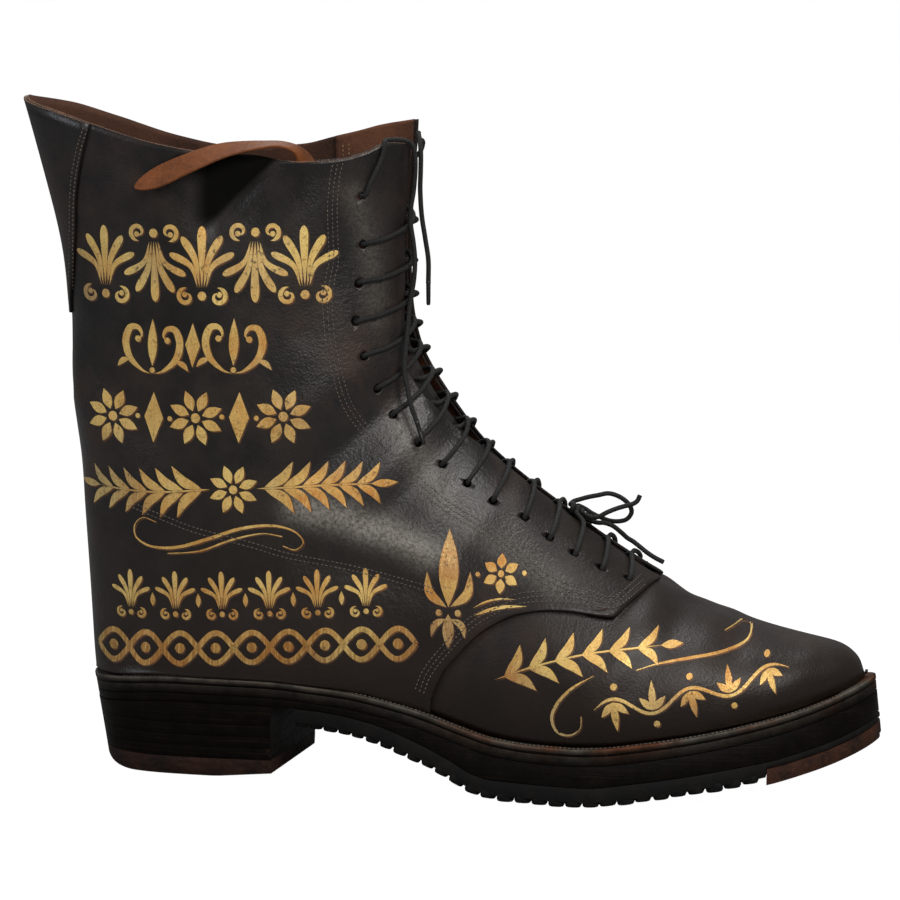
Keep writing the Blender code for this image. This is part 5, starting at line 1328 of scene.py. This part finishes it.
# %% Middle lines of the free cords, in mm
BOW_LOOP = [(353.6, 8.6, 262.4), (353.6, 11.2, 262.4), (356, 14, 264.5), (362, 15, 266.5), (370, 15.5, 269),
            (379, 16, 271), (389, 17, 273), (399, 19, 270), (407.5, 21, 263.5), (411, 22, 255.5), (407, 21.5, 248.5),
            (399.5, 20.5, 246), (390, 19, 246.5), (381, 18, 249.8), (373.5, 18.3, 253), (366.5, 18.3, 257.2),
            (360.5, 15.4, 260.2), (357.6, 11.2, 259.4), (357.6, 8.6, 259.4)]
BOW_END_HIGH = [(368.4, 0.3, 255.4), (370.4, 0.3, 254), (376, -0.3, 252.3), (382, -1.5, 253.3), (389, -2, 257.5),
                (397, 0, 261), (405.5, 2, 263.8), (413, 3, 266), (417.5, 4, 269), (420, 4, 274.5)]
BOW_END_LOW = [(364.5, 5.7, 252.9), (366.5, 5.7, 251.5), (372, 6, 248.4), (380, 6.5, 246.2), (387, 7.5, 246),
               (395, 9, 243), (402.5, 13, 236.5), (408, 16.5, 231), (414, 17, 227.5), (421, 14, 223),
               (428, 11, 218.5), (435.5, 8.5, 214.5), (444, 6, 211)]
HANGING_FRONT = [(202.5, -6.2, 612.9), (202.6, -8.1, 611.9), (205, -15, 605.5), (206.5, -19.5, 597),
                 (207, -21, 587), (207, -21, 575), (207, -21, 560), (209, -22, 537), (213, -23, 515),
                 (216.5, -24, 495), (217, -24, 474)]
HANGING_SIDE = [(197.3, -31.5, 606), (199, -31.3, 604.9), (201.5, -31.4, 600.5), (203, -31.5, 592),
                (203.2, -31.3, 578), (202, -31, 560), (200, -31.5, 545), (200, -32, 530), (203, -32, 512),
                (205, -33, 495), (204.5, -34, 477), (202, -36, 458), (201, -40, 440), (200, -47, 415),
                (200, -53, 393), (204, -57, 376), (207, -60, 364), (214, -63, 346)]
print("free cords:", len((BOW_LOOP, BOW_END_HIGH, BOW_END_LOW, HANGING_FRONT, HANGING_SIDE)))

# %% The bow, the two hanging ends and their tips
# Distances along a tip and its radii there, in mm
TIP_PROFILE = [(-1.2, 2.0), (-0.6, 2.36), (0.8, 2.42), (1.3, 2.2), (12, 2.12), (20, 2.0), (21.4, 1.7), (22, 1.1)]


def lace_tip(name, points):
    """The stiff tip that grips a hanging end."""
    last, before = (Vector(points[k]) * MM for k in (-1, -2))
    run = (last - before).normalized()
    side = run.orthogonal().normalized()
    other = run.cross(side)
    turns = [2 * math.pi * k / 16 for k in range(16)]
    rows = [[tuple(last + run * along * MM + (side * math.cos(a) + other * math.sin(a)) * radius * MM)
             for a in turns] for along, radius in TIP_PROFILE]
    return finish_piece(loft(name + "_tip", rows, tip_black), "boot", "lace_tip", name)


def free_cord(name, points, on_it=()):
    """A cord of its real length on one smooth curve."""
    length, line = evenly(traced(points, 600), 2 * MM, 0, 8)
    curve = bpy.data.curves.new(name, "CURVE")
    curve.dimensions = "3D"
    spline = curve.splines.new("POLY")
    spline.points.add(len(line) - 1)
    spline.points.foreach_set("co", np.c_[line, np.ones(len(line))].astype("f").ravel())
    curve.bevel_depth, curve.bevel_resolution, curve.use_fill_caps = LACE_RADIUS, 4, True
    curve.materials.append(lace_black.material)
    cord = finish_piece(add_object(name + "_cord", curve), "boot", "lace", name)
    print(name, "is", round(length / MM), "mm long")


free_cord("bow_loop", BOW_LOOP, [knot])
for end, points in (("high", BOW_END_HIGH), ("low", BOW_END_LOW)):
    free_cord("bow_end_" + end, points)
for end, points in (("front", HANGING_FRONT), ("side", HANGING_SIDE)):
    free_cord("hanging_end_" + end, points, [lace_tip("aglet_" + end, points)])

# %% [markdown]
# ## The pull strap
#
# A leather strap is sewn in behind the rim, arches over it and lies outside with a pointed end. It rides on a body of
# its own. It is a loft along its middle line, whose width leans over on the way, and its section is a rounded band
# that cups a little, as a cut strap does.

# %% Pull strap
STRAP_LINE = [
    # x, y, z, lean in degrees, width share
    (106, -69.4, 545, 2, 0.9), (106, -68.0, 558, 8, 1.0), (105, -63, 574, 32, 1.0), (102, -55.5, 588, 62, 1.0),
    (94, -59, 598.5, 82, 1.0), (80, -63.5, 603, 85, 1.0), (64, -70, 602.5, 80, 1.0), (46, -78, 600.5, 70, 1.0),
    (28, -87, 597, 58, 1.0), (10, -94, 590.5, 48, 1.0), (-8, -97, 582.5, 42, 1.0), (-24, -97.5, 574.5, 38, 1.0),
    (-37, -97, 568, 36, 0.82), (-46, -96, 563.5, 36, 0.5), (-51, -95.5, 561, 36, 0.16),
]
STRAP_WIDTH, STRAP_LEATHER = 24 * MM, 2.8 * MM
STRAP_TOP = [(-1, 0.35), (-0.94, 0.9), (-0.5, 1), (0, 1), (0.5, 1), (0.94, 0.9), (1, 0.35)]
STRAP_SECTION = STRAP_TOP + [(a, -b) for a, b in reversed(STRAP_TOP)]


def strap_rows():
    middle = through([row[:3] for row in STRAP_LINE])
    turn_share = through([row[3:] for row in STRAP_LINE], scale=1)
    rows = []
    for step in np.linspace(0, len(STRAP_LINE) - 1, 90):
        centre, ahead, behind = (Vector(middle(np.array(v))) for v in (step, step + 0.1, step - 0.1))
        along = ahead - behind
        flat = Vector((along.x, 0, along.z)).normalized()
        up = Vector((flat.z, 0, -flat.x))
        angle, share = turn_share(np.array(step))
        angle = math.radians(angle)
        across = (up * math.cos(angle) + Vector((0, 1, 0)) * math.sin(angle)).normalized()
        thick = across.cross(along).normalized()
        half, rise = STRAP_WIDTH / 2 * share, STRAP_LEATHER / 2
        rows.append([tuple(centre + across * half * a + thick * rise * b) for a, b in STRAP_SECTION])
    return rows


strap = loft("pull_strap_leather", strap_rows(), strap_hide)
finish_piece(strap, "strap", "strap_leather", "pull_strap")
print("strap faces:", len(strap.data.polygons))

# %% [markdown]
# ## The facings
#
# A brown strip lines each quarter along the lace holes, and its back edge shows inside the shaft as a step in the
# leather. It follows the same panel, one leather's thickness further in, so the panel is asked for places at a
# negative height. The lace holes go through both leathers, so the same pins cut them.

# %% Facings behind the lace holes
FACING_WIDTH, FACING_LEATHER = 0.28, 2.0 * MM

for side, panel in quarters.items():
    name = SIDE_NAMES[side] + "_facing"
    levels = np.r_[0.03, eased_steps(120)[4:]]
    face = panel.over(eased_steps(26, 0.3) * FACING_WIDTH, levels[:, None], -LAYER_GAP / 2)
    piece = sheet_of(name + "_leather", face, (0, side, 0))
    piece = tan_hide(piece, FACING_LEATHER, dark_edge, facing_hide, dark_edge)
    punch_lace_holes(piece, panel)
    finish_piece(piece, "boot", "brown_leather", name)
    print(piece.name, "faces:", len(piece.data.polygons))

# %% [markdown]
# ## Stitching
#
# Hundreds of stitches hold the panels, all alike and evenly spaced along a line: that is work for Geometry Nodes.
# Each row is a chain of edges on the leather. The tree turns it into a curve, resamples it by the pitch, sets one
# small thread on each point, turned along the row, and makes everything real. A few listed points in the side
# view give each row, and rays cast at the finished leather bring it onto the surface.

# %% Rays onto the finished leather
RAY_START = 0.3


def ray_target(*pieces):
    """One search tree over the faces of several pieces."""
    bm = bmesh.new()
    for piece in pieces:
        bm.from_mesh(piece.data)
    target = BVHTree.FromBMesh(bm)
    bm.free()
    return target


upper_faces = {side: ray_target(bpy.data.objects[SIDE_NAMES[side] + "_quarter_leather"], vamp, backstay)
               for side in SIDES}


def onto_leather(side, places, height):
    """Side view places in mm brought onto the upper from the outside, at a height; misses keep the last hit."""
    out, last = [], None
    for x, z in places:
        start = Vector((x * MM, side * RAY_START, z * MM))
        hit, normal, _, _ = upper_faces[side].ray_cast(start, Vector((0, -side, 0)))
        if hit is not None:
            last = hit + normal * height
        out.append(last)
    first = next(p for p in out if p is not None)
    return [first if p is None else p for p in out]


def side_line(points, spacing=2.0):
    """A smooth side view line through given points, in mm, with a point every few millimetres."""
    return evenly(traced(points, 40 * len(points)) / MM, spacing, 2, 1)[1]


def left_of(line):
    """The unit directions that point to the left of a side view line."""
    tangent = np.gradient(line, axis=0)
    tangent /= np.maximum(np.linalg.norm(tangent, axis=1), 1e-9)[:, None]
    return np.stack([-tangent[:, 1], tangent[:, 0]], axis=1)


def beside(line, *distances):
    """Lines at distances to the left of a side view line."""
    return [line + left_of(line) * distance for distance in distances]


# %% The stitch tree
STITCH_PITCH, STITCH_LENGTH, STITCH_WIDTH = 4.2 * MM, 3.0 * MM, 1.15 * MM
STITCH_SEGMENTS, STITCH_RINGS = 6, 5
STITCH_POINTS = STITCH_SEGMENTS * (STITCH_RINGS - 1) + 2


def stitch_tree(look):
    sizes = {"Pitch": STITCH_PITCH, "Length": STITCH_LENGTH, "Width": STITCH_WIDTH}
    given, add, end = node_tree("row_of_stitches", sizes)
    row = add("GeometryNodeMeshToCurve", Mesh=given["Geometry"])
    spaced = add("GeometryNodeResampleCurve", {"mode": "LENGTH"}, Curve=row.outputs[0], Length=given["Pitch"])
    thread = add("GeometryNodeMeshUVSphere", Segments=STITCH_SEGMENTS, Rings=STITCH_RINGS, Radius=0.5)
    along = add("GeometryNodeInputTangent").outputs[0]
    turned = add("FunctionNodeAlignRotationToVector", {"axis": "X"}, Vector=along)
    size = add("ShaderNodeCombineXYZ", X=given["Length"], Y=given["Width"], Z=given["Width"])
    return end(add("GeometryNodeInstanceOnPoints", Points=spaced.outputs[0], Instance=thread.outputs["Mesh"],
                   Rotation=turned.outputs[0], Scale=size.outputs[0]), look)


def sew(name, rows, look=thread_grey, slot="black_leather"):
    """Stitches along rows of places in space."""
    points, edges = [], []
    for row in rows:
        start = len(points)
        points += [tuple(p) for p in row]
        edges += [(k, k + 1) for k in range(start, len(points) - 1)]
    piece = add_mesh(name, points, edges, [])
    grow(piece, stitch_tree(look))
    print(name, "has", len(piece.data.vertices) // STITCH_POINTS, "stitches")
    finish_piece(piece, "boot", slot)


# %% Rows of stitches on the outside
FACING_SEAM = [(137, 594), (133, 575), (131, 548), (132, 518), (133, 497), (130, 478), (128, 460), (130, 436),
               (133, 415), (140, 388), (148, 363), (159, 344), (174, 326), (192, 310), (211, 293), (230, 278),
               (250, 264), (276, 250), (294, 240), (316, 224), (338, 208), (358, 199), (376, 194), (394, 189)]
COUNTER_SEAM = [(-53, 254), (-22, 245), (5, 237), (57, 226), (97, 216), (153, 207), (194, 198), (234, 188)]
EDGE_SEAM = [(431, 198), (408, 183), (386, 184.5), (360, 187), (333, 186), (313, 181.5), (290, 169.5), (273, 157),
             (254, 135), (237, 112), (230, 94)]
THREAD_HEIGHT = 0.25 * MM

lines = (beside(side_line(FACING_SEAM), -4.2, 0, 4.2) + beside(side_line(COUNTER_SEAM), 0, 4.6)
         + beside(side_line(EDGE_SEAM), 0, -4.4, -8.8))
for side, label in SIDE_NAMES.items():
    sew(label + "_stitches", [onto_leather(side, line, THREAD_HEIGHT) for line in lines])

# %% Rows on the inside, on the backstay and on the welt
levels, lining_face = np.linspace(0.3, 0.985, 160), -LAYER_GAP / 2 - FACING_LEATHER
inside_rows = [panel.over(share, levels, lining_face - 0.2 * MM)
               for panel in quarters.values() for share in (0.262, 0.247)]
sew("facing_lining_stitches", inside_rows, thread_tan, "brown_leather")

BACKSTAY_SEAM = [(-106, 612), (-113, 592), (-119, 565), (-122, 540), (-123.5, 510), (-125, 480), (-127, 455)]
lines = beside(side_line(BACKSTAY_SEAM), 0, 4.2)
sew("backstay_stitches", [onto_leather(side, line, THREAD_HEIGHT) for side in SIDES for line in lines])

x = np.linspace(-60, 632, 300) * MM
from_edge = 4.2 * MM + 1.2 * MM * np.clip((x / MM - WAIST_START) / WAIST_LENGTH, 0, 1)
welt_rows = [np.stack([x, side * (edge_width(side, x) - from_edge), welt_top(x) + 0.15 * MM], axis=1)
             for side in SIDES]
sew("welt_stitches", welt_rows, slot="sole_leather")

# %% [markdown]
# ## Gilt ornament
#
# A gilder sizes the leather with a brush and lays gold leaf on it, so all ornament is made of tapering brush strokes.
# Painting them in a texture would blur their edges, and letting the strokes be real strips of mesh keeps them crisp. A
# stroke is a line in the side view with a width at each place. A few strokes make a leaf fan, a rosette, a laurel or
# a scroll, and rays drop every strip onto the leather.

# %% Brush strokes
STROKE_STEP, THINNEST = 1.1, 0.1
strokes = []


class Spot:
    """A place for a motif: its own x and z, from a middle, with a size in mm and a turn in degrees."""

    def __init__(self, x, z, size, turn=0.0, flip=1):
        self.middle, self.size, self.flip = np.array((x, z), float), size, flip
        angle = math.radians(turn)
        self.turn = np.array([[math.cos(angle), math.sin(angle)], [-math.sin(angle), math.cos(angle)]])

    def __call__(self, points):
        return self.middle + (np.array(points, float) * (self.flip, 1) * self.size) @ self.turn

    def halves(self):
        """The same place for the two halves of a motif, mirrored and as it is."""
        for flip in (-1, 1):
            half = Spot(*self.middle, self.size, 0, flip * self.flip)
            half.turn = self.turn
            yield half


def lay(line, half_width, least=THINNEST):
    """Keeps a stroke: its line and its half width at each place."""
    strokes.append((line, np.maximum(half_width, least)))


def brush(points, width, start=0.35, end=0.65, tip=0.3, blunt=False):
    """A stroke that swells to its width between the shares start and end; its far end is a thin tip or blunt."""
    line = side_line(points, STROKE_STEP)
    share = np.linspace(0, 1, len(line))
    rise = np.clip(share / max(start, 0.01), 0, 1)
    fall = np.clip((1 - share) / max(1 - end, 0.01), 0, 1)
    swell = np.sin(rise * math.pi / 2) * (np.sqrt(fall * (2 - fall)) if blunt else np.sin(fall * math.pi / 2))
    lay(line, width * swell / 2, tip / 2)


def dot(spot, x, z, radius):
    centre, reach = spot([(x, z)])[0], radius * spot.size
    share = np.linspace(-1, 1, 9)
    line = centre + np.stack([share * reach, 0 * share], axis=1)
    lay(line, reach * np.sqrt(1 - share**2))


def leaf(spot, root, tip, width, bend=0.0):
    """A pointed leaf from its root to its tip, bent to its left."""
    (x0, z0), (x1, z1) = root, tip
    middle = ((x0 + x1) / 2 - (z1 - z0) * bend, (z0 + z1) / 2 + (x1 - x0) * bend)
    brush(spot([root, middle, tip]), width * spot.size, 0.45, 0.45)


def spiral(spot, centre, radius, start, turns, width, shrink=0.72):
    """A curl that winds inwards from a start angle in degrees and ends in a drop."""
    share = np.linspace(0, 1, 26)
    angle = math.radians(start) + turns * 2 * math.pi * share
    reach = radius * (1 - shrink * share)
    points = np.stack([centre[0] + reach * np.cos(angle), centre[1] + reach * np.sin(angle)], axis=1)
    brush(spot(points), width * spot.size, 0.25, 0.55)
    dot(spot, *points[-1], width * 0.62)


# %% Traditional motifs
def palmette(spot, fan, petals=5):
    """A fan of round petals over two curls, as on classical borders; the outer petals lean by the fan's angle."""
    for k in range(petals):
        lean = (k - (petals - 1) / 2) / ((petals - 1) / 2)
        angle, reach = math.radians(fan * lean), 0.84 - 0.2 * abs(lean) ** 1.4
        middle = (math.sin(angle * 0.7) * reach * 0.55, 0.16 + math.cos(angle * 0.7) * reach * 0.5)
        tip = (math.sin(angle) * reach + 0.06 * lean, 0.14 + math.cos(angle) * reach - 0.04 * abs(lean))
        brush(spot([(0.06 * lean, 0.17), middle, tip]), (0.118 - 0.02 * abs(lean)) * spot.size, 0.95, 0.8, blunt=True)
    for half in spot.halves():
        spiral(half, (0.22, 0.04), 0.12, 95, -1.1, 0.06)
    dot(spot, 0, 0.05, 0.06)


def rosette(spot, petals=8):
    for k in range(petals):
        angle = 2 * math.pi * (k + 0.5) / petals
        c, s = math.cos(angle), math.sin(angle)
        leaf(spot, (0.13 * c, 0.13 * s), (0.5 * c, 0.5 * s), 1.45 / petals)
    dot(spot, 0, 0, 0.085)


def lozenge(spot, width):
    """An upright diamond."""
    line = side_line(spot([(0, -0.5), (0, 0), (0, 0.5)]), STROKE_STEP)
    share = np.linspace(-1, 1, len(line))
    lay(line, (1 - abs(share)) * width * spot.size / 2)


def lyre(spot):
    """Two curls that stand back to back, with a leaf between them."""
    for half in spot.halves():
        brush(half([(0.03, -0.5), (0.2, -0.44), (0.42, -0.24), (0.5, 0.04), (0.42, 0.28), (0.27, 0.3), (0.2, 0.18),
                    (0.26, 0.08)]), 0.13 * spot.size, 0.5, 0.6)
        dot(half, 0.27, 0.1, 0.055)
        leaf(half, (0.42, -0.26), (0.66, -0.42), 0.1, 0.12)
    leaf(spot, (0, -0.36), (0, 0.46), 0.17)
    dot(spot, 0, -0.44, 0.05)


# %% Motifs that run along a line
def heading(line, at):
    """The direction of a line at one of its points, in degrees."""
    ahead = line[min(at + 3, len(line) - 1)] - line[at]
    return math.degrees(math.atan2(ahead[1], ahead[0]))


def laurel(points, size, pairs, width, shrink):
    """A branch with leaves in pairs along it and a bud at its end."""
    line = side_line(points, 1.0)
    brush(points, 1.6, 0.1, 0.8)
    for k in range(pairs):
        share = (k + 0.4) / (pairs + 0.2)
        at = int(share * (len(line) - 1))
        spot = Spot(*line[at], size * (1 - shrink * share), heading(line, at))
        for flip in (-1, 1):
            leaf(spot, (0.02, flip * 0.03), (0.7, flip * 0.62), width, -flip * 0.14)
    end = Spot(*line[-1], size * (1 - shrink))
    tangent = line[-1] - line[-4]
    tangent /= np.linalg.norm(tangent)
    leaf(end, (0, 0), tuple(tangent * 0.8), width)


def guilloche(row, sway, bays, width):
    """Two bands that cross in every bay round a row of dots."""
    share = np.linspace(0, 1, bays * 8 + 1)
    for flip in (-1, 1):
        points = row(share) + np.stack([0 * share, flip * sway * np.sin(math.pi * bays * share)], axis=1)
        brush(points, width, 0.01, 0.99, width * 0.8)
    for k in range(bays):
        dot(Spot(*row((k + 0.5) / bays), 1), 0, 0, sway * 0.34)


def vine(points, bays, sway, size, width, shrink):
    """A winding stem with a three part leaf and a berry in each of its bays."""
    line = side_line(points, 1.0)
    share = np.linspace(0, 1, len(line))
    stem = line + left_of(line) * (sway * np.sin(math.pi * bays * share) * (1 - shrink * share))[:, None]
    brush(stem[:: len(stem) // (bays * 7)], width, 0.1, 0.85, 0.6)
    for k in range(bays):
        at = int((k + 0.5) / bays * (len(line) - 1))
        grow_to = 1 if k % 2 else -1
        spot = Spot(*stem[at], size * (1 - shrink * share[at]), heading(line, at))
        for lean, reach in ((-0.62, 0.62), (0.06, 0.95), (0.74, 0.62)):
            leaf(spot, (0, grow_to * 0.1), (math.sin(lean) * reach, grow_to * math.cos(lean) * reach), 0.21)
        dot(spot, 0.05, -grow_to * 0.34, 0.1)


# %% The ornament on the shaft, row by row, from the rim down
def row_between(start, end):
    """The place on a straight row at each share of its length."""
    start, end = np.array(start, float), np.array(end, float)
    return lambda share: start + (end - start) * np.reshape(share, np.shape(share) + (1,))


row = row_between((-84, 486), (108, 494))
for k in range(5):
    rise, turn = (33, 182) if k % 2 else (-33, 2)
    palmette(Spot(*(row(k / 4) + (0, rise)), 70, turn), 36)

row = row_between((-36, 411), (43, 416))
for share in (0, 1):
    lyre(Spot(*row(share), 54))
lozenge(Spot(*row(0.5), 42), 0.34)

row = row_between((-76, 340), (91, 350))
for share in (0, 0.5, 1):
    rosette(Spot(*row(share), 54))
for share in (0.25, 0.75):
    middle = Spot(*row(share), 48)
    lozenge(middle, 0.4)
    for flip in (-1, 1):
        dot(middle, 0.34 * flip, 0, 0.05)

for points in ([(22, 278), (-18, 273), (-56, 271), (-90, 271.5)], [(68, 281), (104, 283), (142, 286), (174, 288)]):
    laurel(points, 40, 6, 0.24, 0.25)
rosette(Spot(45, 279, 48))
for points, width in (
    ([(-30, 243), (-43, 246), (-52, 238), (-50, 226), (-34, 219), (-8, 221), (22, 231), (52, 242), (80, 246),
      (102, 242), (112, 232), (105, 224), (93, 227)], 3.2),
    ([(-18, 214), (14, 219), (44, 231), (72, 238), (92, 236)], 1.8),
):
    brush(points, width, 0.5, 0.5, 0.8)
row = row_between((-54, 152), (173, 166))
for k in range(6):
    palmette(Spot(*row(k / 5), 44, 3), 38)
for k in range(5):
    leaf(Spot(*row((k + 0.5) / 5), 44, 3), (0, 0.2), (0, 0.5), 0.11)
guilloche(row_between((-90, 119), (221, 140)), 14.5, 9, 5.2)

print("brush strokes on the shaft:", len(strokes))

# %% The ornament on the foot
spear = Spot(252, 137, 108, 2)
leaf(spear, (0, 0.36), (0, 1.02), 0.17)
for flip in (-1, 1):
    leaf(spear, (0.02 * flip, 0.36), (0.19 * flip, 0.66), 0.08, -0.2 * flip)
    dot(spear, 0.085 * flip, 0.31, 0.028)
    leaf(spear, (0.02 * flip, 0.26), (0.15 * flip, 0.1), 0.06, 0.2 * flip)
leaf(spear, (0, 0.3), (0, 0), 0.1)
rosette(Spot(299, 209, 36), 6)
for x, z in ((277, 207.5), (321, 210.5)):
    dot(Spot(x, z, 36), 0, 0, 0.06)
brush([(276, 170), (290, 176), (306, 180), (325, 181.5)], 3.0, 0.3, 0.5)
brush([(275, 177), (286, 183), (299, 186.5), (313, 187)], 1.6, 0.3, 0.5)

laurel([(298, 112), (336, 128), (376, 140), (418, 147), (452, 150)], 36, 6, 0.27, 0.3)
vine([(394, 92), (440, 98), (485, 107), (530, 118), (570, 130)], 5, 9, 33, 3.0, 0.2)
brush([(392, 123), (374, 112), (360, 97), (354, 82), (359, 69), (371, 66), (381, 73), (382, 85)],
      3.0, 0.35, 0.45, 0.8)
brush([(431, 129), (452, 135), (480, 140), (508, 144), (528, 150), (531, 158), (522, 162), (508, 159)],
      2.6, 0.4, 0.5, 0.8)
print("brush strokes in all:", len(strokes))

# %% From strokes to gold leaf on the leather
LANES = np.array((-1, -0.5, 0, 0.5, 1))
LIFT_EACH = 0.0004 * MM


def gild(name, look, height, shift=(0, 0)):
    """All strokes as strips on the leather; each lies a hair higher than the one before, so none flickers."""
    points, faces, lanes = [], [], len(LANES)
    for number, (line, half) in enumerate(strokes):
        places = line[:, None] + left_of(line)[:, None] * (half[:, None] * LANES)[..., None] + shift
        start = len(points)
        points += [tuple(p) for p in onto_leather(OUTER, places.reshape(-1, 2), height + LIFT_EACH * number)]
        corners = [start + j * lanes + i for j in range(len(line) - 1) for i in range(lanes - 1)]
        faces += [(a, a + lanes, a + lanes + 1, a + 1) for a in corners]
    piece = add_mesh(name, points, [], faces)
    piece.data.shade_smooth()
    piece.data.materials.append(look.material)
    finish_piece(piece, "boot", "black_leather")
    print(name, "faces:", len(faces))


gild("gilt_shade", gilt_shade, 0.07 * MM, (1.3, -1.2))
gild("gilt_ornament", gold_leaf, 0.16 * MM)
